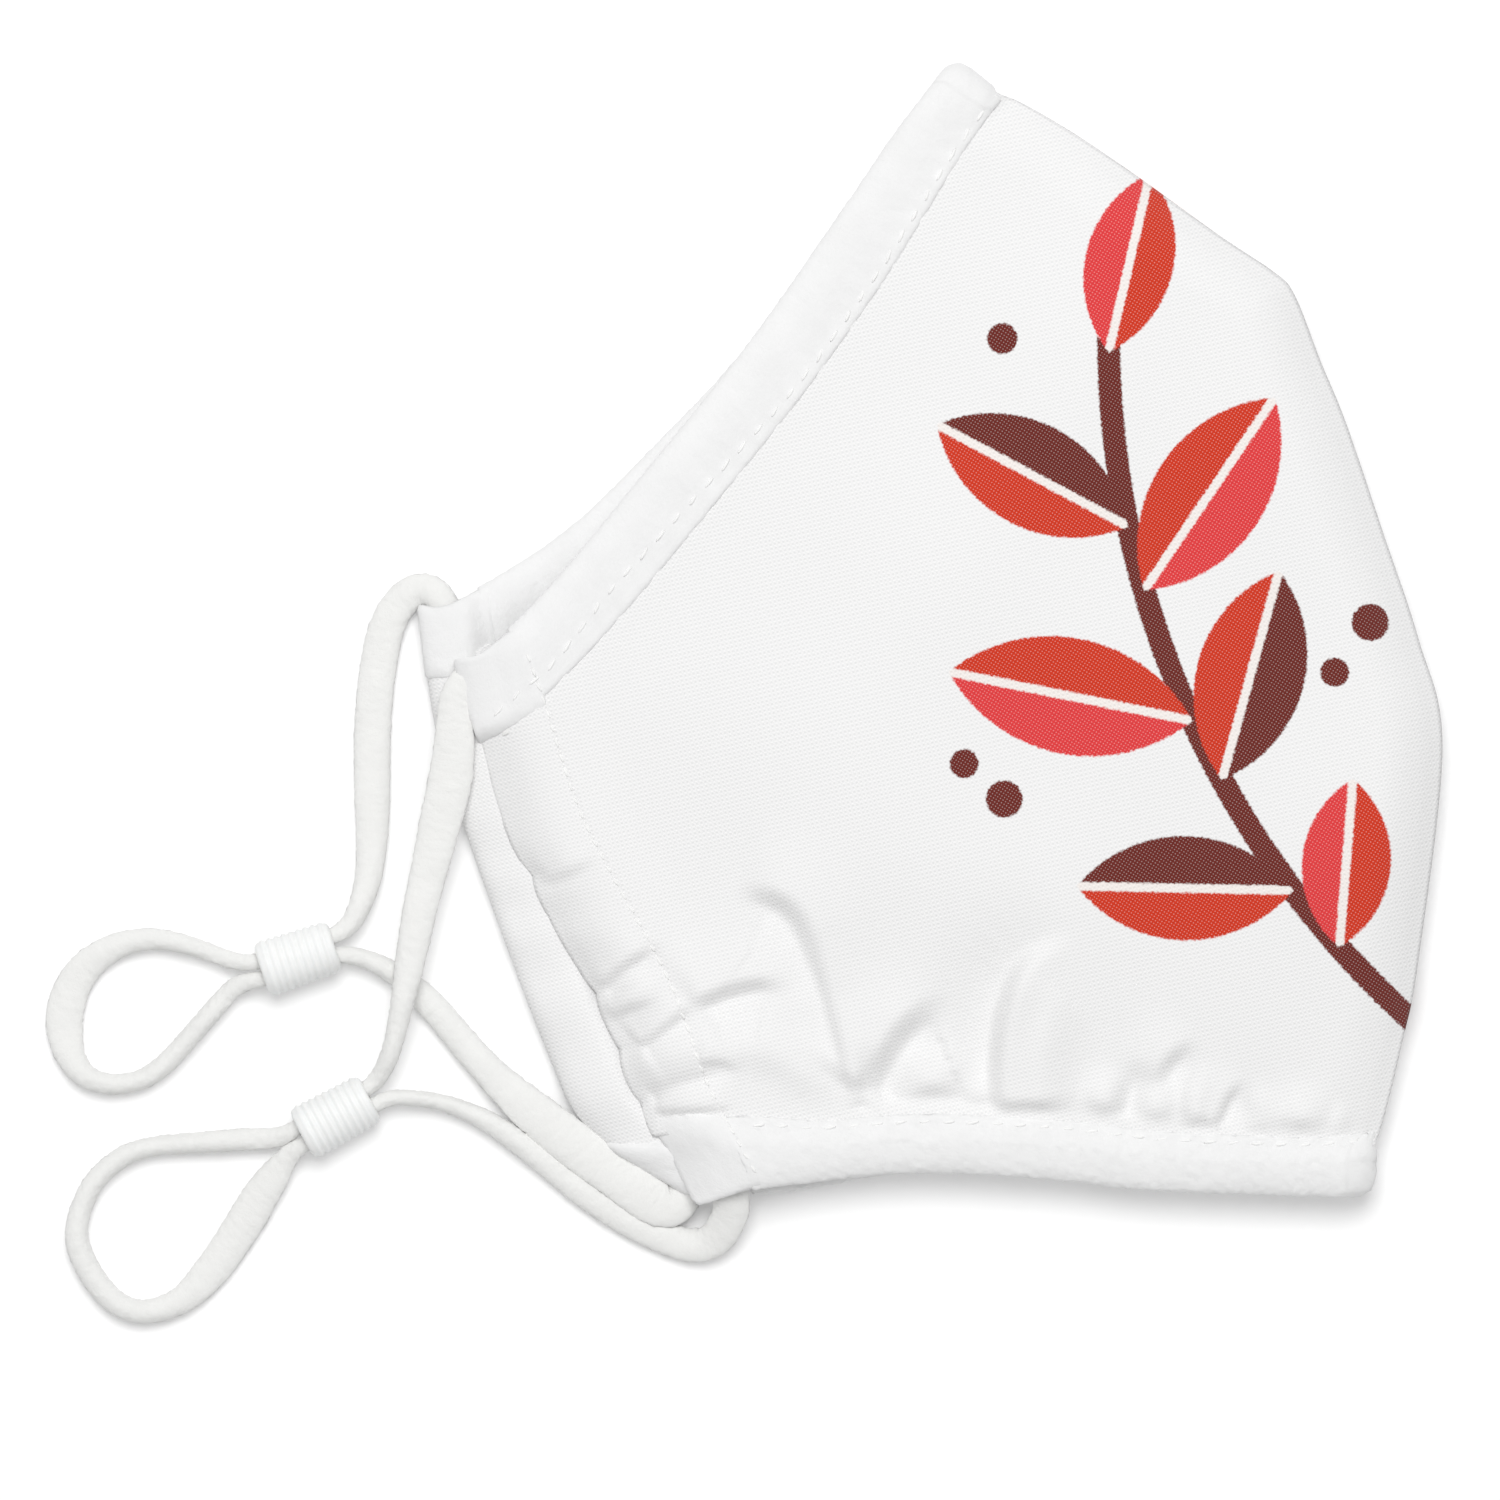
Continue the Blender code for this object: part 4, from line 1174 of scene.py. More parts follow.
@dataclass
class EdgeStrip:
    """Brushed strip folded over the top or bottom edge of a half, with its turn round the front fold."""

    cloth: HalfCloth
    hold: Attachment
    rim: Rim
    thickness: float = 0.0006
    tip_depth: float = 0.00054
    cell: float = 0.00042
    fold_cells: float = 1.3
    hem_margin: float = 0.0004
    ear_lap: float = 0.0016
    rim_radius: float = 0.0006
    peep_out: float = 0.0009
    peep_x: float = -0.017
    peep_reach: float = 0.009
    pucker_start: float = 0.35
    pucker_ramp: float = 0.6
    calm_end: float = 0.0034
    calm_ramp: float = 0.004
    end_share: float = 0.97
    turn_degrees: Point = (8.0, 90.0)
    turn_rings: int = 11
    turn_cell: float = 0.0004
    closing: tuple[float, ...] = (0.35, 0.7, 1.0)

    @property
    def form(self) -> StripForm:
        """Sizes of this hem or binding."""
        return STRIP_FORMS[self.rim]

    @property
    def width(self) -> float:
        """Visible width of the strip."""
        return self.cloth.hem - self.hem_margin if self.rim is Rim.TOP else self.cloth.binding

    @property
    def name(self) -> str:
        """Name of the solid that the strip stands for."""
        return f"{self.cloth.side.name.lower()}_{self.form.node}"

    def depth(self, inset: np.ndarray) -> np.ndarray:
        """Depth of the strip's middle: round at the fold, thin at the tip.

        Args:
            inset: Distance in from the folded edge.

        Returns:
            The depth in metres.
        """
        crest = self.form.crest * self.width
        round_part = self.form.half_depth * np.sqrt(1 - (1 - np.clip(inset / crest, 0.0, 1.0)) ** 2)
        return mix(round_part, self.tip_depth, smooth((inset - crest) / (self.width - crest)))

    def section(self) -> tuple[np.ndarray, np.ndarray, np.ndarray]:
        """Section of the strip, from the outer flange round the fold to the inner one.

        Returns:
            Distance in from the fold, depth, and length along the section.
        """
        crest = self.form.crest * self.width
        flange = np.arange(self.width, crest, -self.cell)
        turn = np.linspace(0.0, math.pi / 2, round(self.fold_cells * crest / self.cell))
        inset = np.concatenate([flange, crest * (1 - np.sin(turn))])
        depth = self.depth(inset)
        inset = np.concatenate([inset, inset[-2::-1]])
        depth = np.concatenate([depth, -depth[-2::-1]])
        run = np.concatenate([[0.0], np.cumsum(np.hypot(np.diff(inset), np.diff(depth)))])
        return inset, depth, run

    def build(self, material: bpy.types.Material, ear_turn: bpy.types.Object) -> bpy.types.Object:
        """Model the strip from the casing to the front fold and round it.

        Args:
            material: Brushed finish.
            ear_turn: The strip's end that is turned in with the ear edge; not used.

        Returns:
            The fastened piece.
        """
        cloth = self.cloth
        inset, depth, run = self.section()
        length = cloth.rim_length(self.rim)
        steps = round(length / self.cell)
        start = (cloth.casing - self.ear_lap) / length
        last = 1.0 - self.setback(inset) / length
        u = start + (last - start) * np.linspace(0.0, 1.0, steps + 1)[:, None]
        s = np.broadcast_to(inset, u.shape)
        v = cloth.v_at(self.rim, u, s * self.spread(u * length))
        places = cloth.place(u, v, np.broadcast_to(depth, u.shape))
        places[..., 2] += cloth.side.value * np.sign(depth) * self.puckers(u, s, length)
        places[..., 1] -= self.peep(places[..., 0], s)
        turn = self.front_turn(inset, depth)
        places = np.concatenate([places, turn])
        travelled = np.concatenate([u[:, 0] * length, length + self.turn_cell * np.arange(1, len(turn) + 1)])
        flat = np.stack(np.meshgrid(travelled, run, indexing="ij"), axis=-1) / MM
        piece = cloth_piece(self.name + "_strip", places, flat, self.thickness,
                            rounded_rim(places, self.rim_radius, "ew"), material, self.form.nap)
        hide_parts(self.name)
        self.hold.fasten(piece, True)
        self.name
        return piece

    def setback(self, inset: np.ndarray) -> np.ndarray:
        """Distance before the front seam at which the strip starts to turn."""
        return np.interp(inset / self.width, self.form.front_shares, self.form.front_gaps)

    def spread(self, run: np.ndarray) -> np.ndarray:
        """Share by which the strip is wider than its visible width in the middle.

        Args:
            run: Distance along the strip from the ear edge.

        Returns:
            The share, one where the width is as given.
        """
        by_ear, ear, ear_ramp = self.form.ear_change
        by_front, front, front_ramp = self.form.front_change
        return (self.form.usual_width + by_ear * (1 - smooth((run - ear) / ear_ramp))
                + by_front * smooth((run - front) / front_ramp))

    def peep(self, x: np.ndarray, s: np.ndarray) -> np.ndarray:
        """Distance by which the lower binding shows past the upper one near the ear.

        Args:
            x: Place on the table.
            s: Distance in from the folded edge.

        Returns:
            The distance in metres.
        """
        if self.rim is Rim.TOP or self.cloth.side is Side.RIGHT:
            return np.zeros_like(x)
        near = np.exp(-((x - self.peep_x) / self.peep_reach) ** 2)
        return self.peep_out * near * (1 - smooth(s / self.width))

    def puckers(self, u: np.ndarray, s: np.ndarray, length: float) -> np.ndarray:
        """Small waves that the drawn-up stitching leaves in the strip.

        Args:
            u: Share of the way from ear to seam.
            s: Distance in from the folded edge.
            length: Length of the strip.

        Returns:
            Their height in metres.
        """
        run = u * length / MM
        near_edge = smooth((s - self.pucker_start * self.width) / (self.pucker_ramp * self.width))
        waves = sum(share * np.sin(2 * math.pi * run / pitch + start) for share, pitch, start in PUCKERS)
        calm = smooth(((1 - u) * length - self.calm_end) / self.calm_ramp)
        return self.form.pucker * MM * waves * near_edge * calm

    def front_turn(self, inset: np.ndarray, depth: np.ndarray) -> np.ndarray:
        """Turn the strip round the fold at the front seam, down to the plane between the halves.

        Args:
            inset: Distance in from the fold, along the section.
            depth: Depth along the section.

        Returns:
            World places of the sections, the last ones drawn together so that the end is closed.
        """
        cloth = self.cloth
        edge = cloth.edges[self.rim.value]
        ahead = edge.at(np.array(1.0)) - edge.at(np.array(self.end_share))
        ahead = ahead / np.linalg.norm(ahead)
        u = 1.0 - self.setback(inset) / cloth.rim_length(self.rim)
        v = cloth.v_at(self.rim, u, inset * self.spread(u * cloth.rim_length(Rim.TOP)))
        base = cloth.plan(u, v)
        radius = cloth.height(u, v) + depth
        rings = []
        for angle in np.radians(np.linspace(*self.turn_degrees, self.turn_rings)):
            spot = base + ahead * (radius * math.sin(angle))[:, None]
            z = cloth.part_plane + cloth.side.value * radius * math.cos(angle)
            rings.append(np.concatenate([spot, z[:, None]], axis=1))
        closed = (rings[-1] + rings[-1][::-1]) / 2
        return np.array(rings + [mix(rings[-1], closed, share) for share in self.closing])


class Cover(Enum):
    """Cloth that shows on a stretch of the ear casing."""

    WOVEN = "ear_casing"
    HEM = "hem_turn"
    BINDING = "binding_turn"


# Sections of the ear casings, from the stitch line over the channel to the rim and back below it: distance
# in from the ear edge and height over the middle of the channel, in millimetres
CASING_SECTIONS: dict[Side, tuple[Point, ...]] = {
    Side.LEFT: ((9.5, 0.36), (8.0, 1.30), (6.5, 2.10), (5.0, 2.10), (3.4, 1.80), (1.8, 1.30), (0.8, 0.75),
                (0.2, 0.05), (0.1, -0.80), (0.5, -1.70), (1.3, -2.20), (3.0, -2.40), (6.0, -1.80),
                (9.5, -0.36)),
    Side.RIGHT: ((9.5, 0.36), (8.0, 0.45), (6.4, 0.30), (4.8, -0.20), (3.4, -0.95), (2.2, -1.75),
                 (1.2, -2.50), (0.4, -3.15), (0.0, -3.50), (0.4, -3.62), (3.0, -3.30), (6.0, -2.30),
                 (9.5, -0.36)),
}


@dataclass
class EarCasing:
    """Turned ear edge of one half: a channel for the cord, with the ends of hem and binding turned in too."""

    cloth: HalfCloth
    hold: Attachment
    woven_thickness: float = 0.0004
    turned_thickness: float = 0.0006
    turned_rise: float = 0.00042
    binding_turn: float = 0.0101
    nap: float = 0.00009
    cell: float = 0.0005
    wrinkle: float = 0.00022
    pinches: tuple[float, ...] = (0.184, 0.28, 0.385, 0.61)
    pinch_depth: float = 0.0008
    pinch_width: float = 0.0018
    droop: float = 0.0013
    droop_reach: float = 0.007
    lap: float = 0.0014
    loose_reach: float = 0.0024
    hem_sag: float = 0.0009
    hem_reach: float = 0.0006
    level_gap: float = 0.0001
    level_start: float = 0.0048
    end_share: float = 0.62
    end_round: float = 0.0032
    flush_ramp: float = 0.0016
    bulk: float = 0.0015
    bulk_reach: float = 0.006
    turned_drop: float = 0.0003
    drawn_in: float = 0.0009
    let_out: float = 0.0003
    rim_ramp: float = 0.0025
    rim_radius: float = 0.0006
    waves: int = 9
    wave_fade: Point = (0.40, 0.45)
    wave_drift: Point = (1.1, 11.0)

    @property
    def side_name(self) -> str:
        """Word for the half."""
        return self.cloth.side.name.lower()

    def section(self, under: bool) -> np.ndarray:
        """Section of the woven casing round its channel.

        Args:
            under: Whether the section goes on below the rim.

        Returns:
            Distance in from the ear edge and height over the middle of the channel, one pair a row.
        """
        line = even_route(np.array(CASING_SECTIONS[self.cloth.side]) * MM, spacing=self.cell)
        return line if under else line[:int(line[:, 0].argmin()) + 2]

    def reach(self, cover: Cover, s: np.ndarray) -> np.ndarray:
        """Distance along the ear edge that a turned end covers.

        Args:
            cover: Which end it is.
            s: Distance in from the ear edge.

        Returns:
            The distance in metres.
        """
        share = np.clip(s / self.cloth.casing, 0.0, 1.0)
        if cover is Cover.BINDING:
            return self.binding_turn + self.loose_reach * (1 - share)
        if self.cloth.side is Side.RIGHT:
            return self.cloth.hem + (self.loose_reach - self.hem_sag * np.sin(math.pi * share))
        return np.full_like(share, self.cloth.hem + self.hem_reach)

    def turned(self, cover: Cover, s: np.ndarray, v: np.ndarray, lift: np.ndarray,
               top: np.ndarray) -> np.ndarray:
        """Height of a turned end over the middle of the channel.

        Args:
            cover: Which end it is.
            s: Distance in from the ear edge.
            v: Patch v.
            lift: Height of the woven casing there.
            top: Whether the place is on the upper side.

        Returns:
            The height of the middle of the turned cloth, level with its strip at the stitch line.
        """
        cloth = self.cloth
        from_rim = (1 - v if cover is Cover.HEM else v) * cloth.ear_length
        strip = EdgeStrip(cloth, self.hold, Rim.TOP if cover is Cover.HEM else Rim.BOTTOM)
        level = strip.depth(from_rim / strip.spread(np.zeros(1))) + self.level_gap
        end = np.clip(from_rim / self.end_round, 0.0, 1.0)
        loose = lift * mix(self.end_share, 1.0, np.sqrt(1 - (1 - end) ** 2))
        flush = smooth((self.reach(cover, s) - from_rim) / self.flush_ramp)
        share = smooth((s - self.level_start) / (cloth.casing - self.level_start))
        thick = cover is Cover.HEM and cloth.side is Side.RIGHT
        bulk = self.bulk * (1 - smooth(s / self.bulk_reach)) if thick else 0.0
        over = mix(loose + (self.turned_rise + bulk) * flush, level * flush, share)
        below = mix(loose - self.turned_drop, -level, share)
        return np.where(top, over, below)

    def build(self, cover: Cover, material: bpy.types.Material) -> bpy.types.Object:
        """Model the stretch of the casing that one cloth covers.

        Args:
            cover: Which cloth shows.
            material: Its finish.

        Returns:
            The fastened piece.
        """
        cloth = self.cloth
        woven = cover is Cover.WOVEN
        loose_binding = cover is Cover.BINDING and cloth.side is Side.RIGHT
        length = cloth.ear_length
        low, high = {
            Cover.WOVEN: ((self.binding_turn - self.lap) / length, 1 - (cloth.hem - self.lap) / length),
            Cover.HEM: (1 - float(self.reach(Cover.HEM, np.array(cloth.casing))) / length, 1.0),
            Cover.BINDING: (0.0, self.binding_turn / length)}[cover]
        section = self.section(woven or cover is Cover.BINDING or cloth.side is Side.LEFT)
        run = np.concatenate([[0.0], np.cumsum(np.linalg.norm(np.diff(section, axis=0), axis=1))])
        steps = round((high - low) * length / self.cell)
        v, s = np.meshgrid(np.linspace(low, high, steps + 1), section[:, 0], indexing="ij")
        lift = np.broadcast_to(section[:, 1], s.shape)
        top = np.broadcast_to(np.arange(len(section)) <= section[:, 0].argmin(), s.shape)
        if not woven:
            longer = self.reach(cover, s) / self.reach(cover, np.array(cloth.casing))
            v = v * longer if cover is Cover.BINDING else 1 - (1 - v) * longer
            lift = self.turned(cover, s, v, lift, top)
            s = s + (self.drawn_in if loose_binding else -self.let_out) * (1 - s / cloth.casing)
        u = s / cloth.along(v)
        outward = np.where(top, smooth(s / self.rim_ramp), 0.0)
        rise = cloth.folds(np.clip(u, 0.0, 1.0), v) * outward * cloth.side.value
        near_rim = smooth(1 - s / cloth.casing)
        shrink = self.pinched(v * length, length) * near_rim if woven and cloth.side is Side.RIGHT else 0.0
        waves = self.wrinkles(v) * near_rim * np.where(top, 1.0, 0.0)
        places = cloth.place((s + shrink) / cloth.along(v), v, cloth.side.value * (lift + rise + waves))
        if loose_binding:
            loose_end = (1 - smooth(s / cloth.casing)) * (1 - smooth(v * length / self.droop_reach))
            places[..., 1] -= self.droop * loose_end
        own = cloth.plan(u, v) if woven else np.stack([v * length, np.broadcast_to(run, v.shape)], axis=-1)
        piece = cloth_piece(f"{self.side_name}_{cover.value}_cloth", places, own / MM,
                            self.woven_thickness if woven else self.turned_thickness,
                            rounded_rim(places, self.rim_radius, "ew" if woven else "nsew"), material,
                            0.0 if woven else self.nap)
        if woven:
            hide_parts(f"{self.side_name}_ear_casing")
        self.hold.fasten(piece, False)
        if woven:
            f"{self.side_name}_ear_cord"
        return piece

    def pinched(self, run: np.ndarray, length: float) -> np.ndarray:
        """Distance by which the folds that reach the ear edge draw it in."""
        return sum(self.pinch_depth * np.exp(-np.abs(run - share * length) / self.pinch_width)
                   for share in self.pinches)

    def wrinkles(self, v: np.ndarray) -> np.ndarray:
        """Height of the waves along the casing, which die away towards the hem.

        Args:
            v: Share of the way from bottom to top.

        Returns:
            The height in metres.
        """
        start, ramp = self.wave_fade
        drift, turns = self.wave_drift
        strength = self.wrinkle * (1 - smooth((v - start) / ramp))
        return np.sin(2 * math.pi * self.waves * v + drift * np.sin(turns * v)) * strength

    def face(self, s: np.ndarray, v: np.ndarray) -> np.ndarray:
        """Height of the outer face that shows on the casing, over the middle of the channel.

        Args:
            s: Distance in from the ear edge.
            v: Patch v.

        Returns:
            The height, with the turned ends where they lie over the woven cloth.
        """
        length = self.cloth.ear_length
        upper = self.section(False)[::-1]
        lift = np.interp(s, upper[:, 0], upper[:, 1])
        height = lift + self.woven_thickness / 2
        for cover, from_rim in ((Cover.HEM, (1 - v) * length), (Cover.BINDING, v * length)):
            over = self.turned(cover, s, v, lift, np.array(True)) + self.turned_thickness / 2
            height = np.where(from_rim < self.reach(cover, s), over, height)
        return height


@dataclass
class StitchRow:
    """Row of lockstitches through a half, shown on its outer face."""

    cloth: HalfCloth
    hold: Attachment
    pitch: float = 0.0030
    length: float = 0.0019
    thread: float = 0.00038
    swing: tuple[float, float, float] = (9.0, 5.0, 2.3)
    stretch: tuple[float, float, float] = (0.9, 0.12, 5.1)
    facets: tuple[int, int] = (10, 6)
    points: int = 120
    proud: Point = (0.00038, 0.00008)
    proud_ramp: float = 0.0045
    casing_span: Point = (0.0015, 0.0035)
    casing_inset: float = 0.0003
    casing_sink: float = 0.00002

    @staticmethod
    def varied(usual: float, change: float, turn: float, k: int) -> float:
        """Number that changes a little from stitch to stitch."""
        return usual + change * math.sin(k * turn)

    def build(self, name: str, places: np.ndarray, bends: bool, material: bpy.types.Material,
              pitch: float = 0.0, length: float = 0.0) -> bpy.types.Object:
        """Model the row along a line on the cloth.

        Args:
            name: Name of the piece.
            places: World places along the row, on the face of the cloth.
            bends: Whether the row crosses the opening line.
            material: Thread finish.
            pitch: Distance from stitch to stitch, where it isn't the usual one.
            length: Length of a stitch, likewise.

        Returns:
            The fastened piece.
        """
        pitch, length = pitch or self.pitch, length or self.length
        line = even_route(places, spacing=pitch)
        bm = bmesh.new()
        for k, (a, b) in enumerate(zip(line, line[1:])):
            a, b = Vector(a), Vector(b)
            ahead = (b - a).normalized()
            up = Vector((0.0, 0.0, float(self.cloth.side.value)))
            swing = math.radians(self.varied(*self.swing, k))
            aside = up.cross(ahead).normalized()
            ahead = (ahead * math.cos(swing) + aside * math.sin(swing)).normalized()
            aside = up.cross(ahead).normalized()
            turn = Matrix((ahead, aside, ahead.cross(aside))).transposed().to_4x4()
            size = Matrix.Diagonal((length / 2 * self.varied(*self.stretch, k), self.thread / 2,
                                    self.thread / 2, 1.0))
            bmesh.ops.create_uvsphere(bm, u_segments=self.facets[0], v_segments=self.facets[1], radius=1.0,
                                      matrix=Matrix.Translation((a + b) / 2) @ turn @ size)
        for face in bm.faces:
            face.smooth = True
        own = bm.verts.layers.float_vector.new("cloth_mm")
        for vert in bm.verts:
            vert[own] = vert.co / MM
        piece = new_piece(name, mesh_of(bm, name), material)
        self.hold.fasten(piece, bends)
        return piece

    def along_rim(self, strip: EdgeStrip, casing: EarCasing, insets: list[Point], start: float) -> np.ndarray:
        """Line along the top or bottom strip and over its turned end.

        Args:
            strip: Strip that the row holds.
            casing: Ear casing that the strip's end lies on.
            insets: Share along the strip and distance in from the edge, in millimetres.
            start: Distance from the ear edge at which the row starts.

        Returns:
            World places along the line.
        """
        cloth = self.cloth
        length = cloth.rim_length(strip.rim)
        last = 1.0 - float(strip.setback(np.array(strip.width))) / length
        u = np.linspace(start / length, last, self.points)
        shares, depths = np.array(insets).T
        s = np.interp(u, shares, depths) * MM
        v = cloth.v_at(strip.rim, u, s * strip.spread(u * length))
        from_ear = u * cloth.along(v)
        face = strip.depth(s) + strip.thickness / 2
        face = np.where(from_ear < cloth.casing, casing.face(from_ear, v), face)
        return cloth.place(u, v, face + mix(*self.proud, smooth(from_ear / self.proud_ramp)))

    def along_casing(self, casing: EarCasing) -> np.ndarray:
        """Line along the inner edge of the ear casing, from the binding to the hem.

        Args:
            casing: The casing.

        Returns:
            World places along the line.
        """
        cloth = self.cloth
        low, high = (gap / cloth.ear_length for gap in self.casing_span)
        v = np.linspace(low, 1 - high, self.points)
        s = np.full_like(v, cloth.casing - self.casing_inset)
        u = s / cloth.along(v)
        return cloth.place(u, v, casing.face(s, v) + cloth.folds(u, v) - self.casing_sink)


@dataclass
class EarCord:
    """Elastic ear cord of one half, in the three free stretches that leave the casing and the adjuster."""

    width: float = 0.0042
    thinnest: float = 0.0022
    thickest: float = 0.0034
    bulk: float = 0.0000100
    pinched: float = 0.0020
    pinch_start: float = 0.0095
    pinch_length: float = 0.0060
    ring: int = 28
    cell: float = 0.0003
    softened: int = 6
    nap: float = 0.00014
    tuft: float = 0.0005

    def stretch(self, name: str, route: np.ndarray, pinch: tuple[bool, bool],
                material: bpy.types.Material) -> tuple[bpy.types.Object, np.ndarray]:
        """Model one stretch as a flat-oval tube, tall where it is seen narrow.

        Args:
            name: Name of the piece.
            route: Places on the table, height of the cord's underside and its width there, one a row.
            pinch: Whether the start and the end run into the adjuster.
            material: Elastic finish.

        Returns:
            The piece and its centre line.
        """
        line = even_route(route, spacing=self.cell)
        reach = self.softened
        padded = np.vstack([2 * line[0] - line[reach:0:-1], line, 2 * line[-1] - line[-2:-2 - reach:-1]])
        window = np.ones(2 * reach + 1) / (2 * reach + 1)
        line = np.stack([np.convolve(column, window, mode="valid") for column in padded.T], axis=1)
        line, wide = line[:, :3].copy(), line[:, 3] / 2
        travelled = np.linspace(0.0, np.linalg.norm(np.diff(line, axis=0), axis=1).sum(), len(line))
        near = np.full(len(line), np.inf)
        if pinch[0]:
            near = np.minimum(near, travelled)
        if pinch[1]:
            near = np.minimum(near, travelled[-1] - travelled)
        full = smooth((near - self.pinch_start) / self.pinch_length)
        thick = mix(self.pinched, np.clip(self.bulk / (2 * wide), self.thinnest, self.thickest), full) / 2
        line[:, 2] += thick
        ahead = np.gradient(line, axis=0)
        ahead /= np.linalg.norm(ahead, axis=1)[:, None]
        aside = np.cross(ahead, (0.0, 0.0, 1.0))
        aside /= np.linalg.norm(aside, axis=1)[:, None]
        over = np.cross(aside, ahead)
        angle = np.linspace(0.0, 2 * math.pi, self.ring + 1)
        places = (line[:, None] + aside[:, None] * (wide[:, None] * np.cos(angle))[..., None]
                  + over[:, None] * (thick[:, None] * np.sin(angle))[..., None])
        places[:, -1] = places[:, 0]
        round_mm = angle / 2 * (self.width + self.thinnest) / 2 / MM
        flat = np.stack(np.meshgrid(travelled / MM, round_mm, indexing="ij"), axis=-1)
        piece = new_piece(name, grid_mesh(name, places, flat, None, True), material)
        raise_nap(piece.data, self.nap, self.tuft)
        return piece, line

    def declare(self, piece: bpy.types.Object, line: np.ndarray) -> float:
        """Measure the length of a stretch along its centre line.

        Args:
            piece: Finished stretch; not used.
            line: Its centre line.

        Returns:
            Its length in metres.
        """
        length = float(np.linalg.norm(np.diff(line, axis=0), axis=1).sum())
        return length


@dataclass(frozen=True)
class Adjuster:
    """Ribbed silicone barrel that both strands of a cord run through."""

    x: float
    y: float
    angle: float
    length: float = 0.0097
    diameter: float = 0.0070
    taper: float = 0.04
    ribs: int = 9
    rib_depth: float = 0.00026
    end_rim: float = 0.0006
    rib_points: int = 8
    end_round: tuple[Point, ...] = ((0.0007, 0.0), (0.00025, 0.00012), (0.0, 0.0004))
    facets: int = 56
    slot_height: float = 0.0026
    slot_round: float = 0.45
    slot_segments: int = 5
    strand_offset: float = 0.00115
    strand_drop: float = 0.001

    @property
    def ahead(self) -> Vector:
        """Direction of the bore, towards the mask."""
        return Vector((math.cos(self.angle), math.sin(self.angle), 0.0))

    def bore(self, strand: int, width: float) -> np.ndarray:
        """Straight run of a strand through the barrel.

        Args:
            strand: Side of the bore, one or minus one.
            width: Width of the strand there.

        Returns:
            Places of the underside and the width, mask end first, one a row.
        """
        across = Vector((-self.ahead.y, self.ahead.x, 0.0))
        middle = Vector((self.x, self.y, self.diameter / 2 - self.strand_drop))
        middle += across * strand * self.strand_offset
        reach = self.ahead * (self.length / 2)
        return np.array([(*place, width) for place in (middle + reach, middle, middle - reach)])

    def profile(self) -> list[Point]:
        """Outline of the barrel, from one end to the other.

        Returns:
            Radius and place along the barrel.
        """
        top, radius = self.length / 2, self.diameter / 2
        low = radius - self.rib_depth
        pitch = (self.length - 2 * self.end_rim) / self.ribs
        points = [(0.0, top)] + [(low - back, top - down) for back, down in self.end_round]
        for i in range(self.ribs):
            start = top - self.end_rim - i * pitch
            for share in np.arange(self.rib_points) / self.rib_points:
                swell = 0.5 - 0.5 * math.cos(2 * math.pi * share)
                points.append((low + self.rib_depth * swell, start - pitch * share))
        points += [(r, -z) for r, z in points[len(self.end_round)::-1]]
        return [(r * (1 - self.taper * z / top), z) for r, z in points]

    def build(self, side: Side, material: bpy.types.Material) -> bpy.types.Object:
        """Turn the ribbed barrel and cut its slot.

        Args:
            side: Half whose cord it holds.
            material: Silicone finish.

        Returns:
            The fastened piece.
        """
        name = f"{side.name.lower()}_cord_adjuster"
        bm = bmesh.new()
        verts = [bm.verts.new((r, 0.0, z)) for r, z in self.profile()]
        rim = [bm.edges.new(pair) for pair in zip(verts, verts[1:])]
        bmesh.ops.spin(bm, geom=verts + rim, cent=(0.0, 0.0, 0.0), axis=(0.0, 0.0, 1.0), angle=2 * math.pi,
                       steps=self.facets, use_merge=True)
        bmesh.ops.remove_doubles(bm, verts=bm.verts, dist=WELD)
        bmesh.ops.recalc_face_normals(bm, faces=bm.faces)
        barrel = new_piece(name + "_barrel", self.placed(bm, name + "_barrel"), material)
        bm = bmesh.new()
        bmesh.ops.create_cube(bm, size=1.0)
        wide = 2 * self.strand_offset + self.slot_height
        bmesh.ops.scale(bm, vec=(self.slot_height, wide, 2 * self.length), verts=bm.verts)
        upright = [e for e in bm.edges if abs(e.verts[0].co.z - e.verts[1].co.z) > self.length]
        bmesh.ops.bevel(bm, geom=upright, offset=self.slot_height * self.slot_round,
                        segments=self.slot_segments, profile=0.5, affect="EDGES", material=-1)
        cutter = new_piece(name + "_slot", self.placed(bm, name + "_slot"), None)
        cut = barrel.modifiers.new("slot", "BOOLEAN")
        cut.operation = "DIFFERENCE"
        cut.object = cutter
        settle(barrel)
        bpy.data.objects.remove(cutter, do_unlink=True)
        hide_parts(name)
        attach(barrel, f"{side.name.lower()}_adjuster")
        return barrel

    def placed(self, bm: bmesh.types.BMesh, name: str) -> bpy.types.Mesh:
        """Lay a shape modelled upright on its side where the barrel lies, and make it a mesh.

        Args:
            bm: The upright shape.
            name: Name of the mesh.

        Returns:
            The mesh.
        """
        turn = Matrix.Rotation(self.angle, 4, "Z") @ Matrix.Rotation(math.pi / 2, 4, "Y")
        spot = Matrix.Translation((self.x, self.y, self.diameter / 2))
        bmesh.ops.transform(bm, matrix=spot @ turn, verts=bm.verts)
        return mesh_of(bm, name)


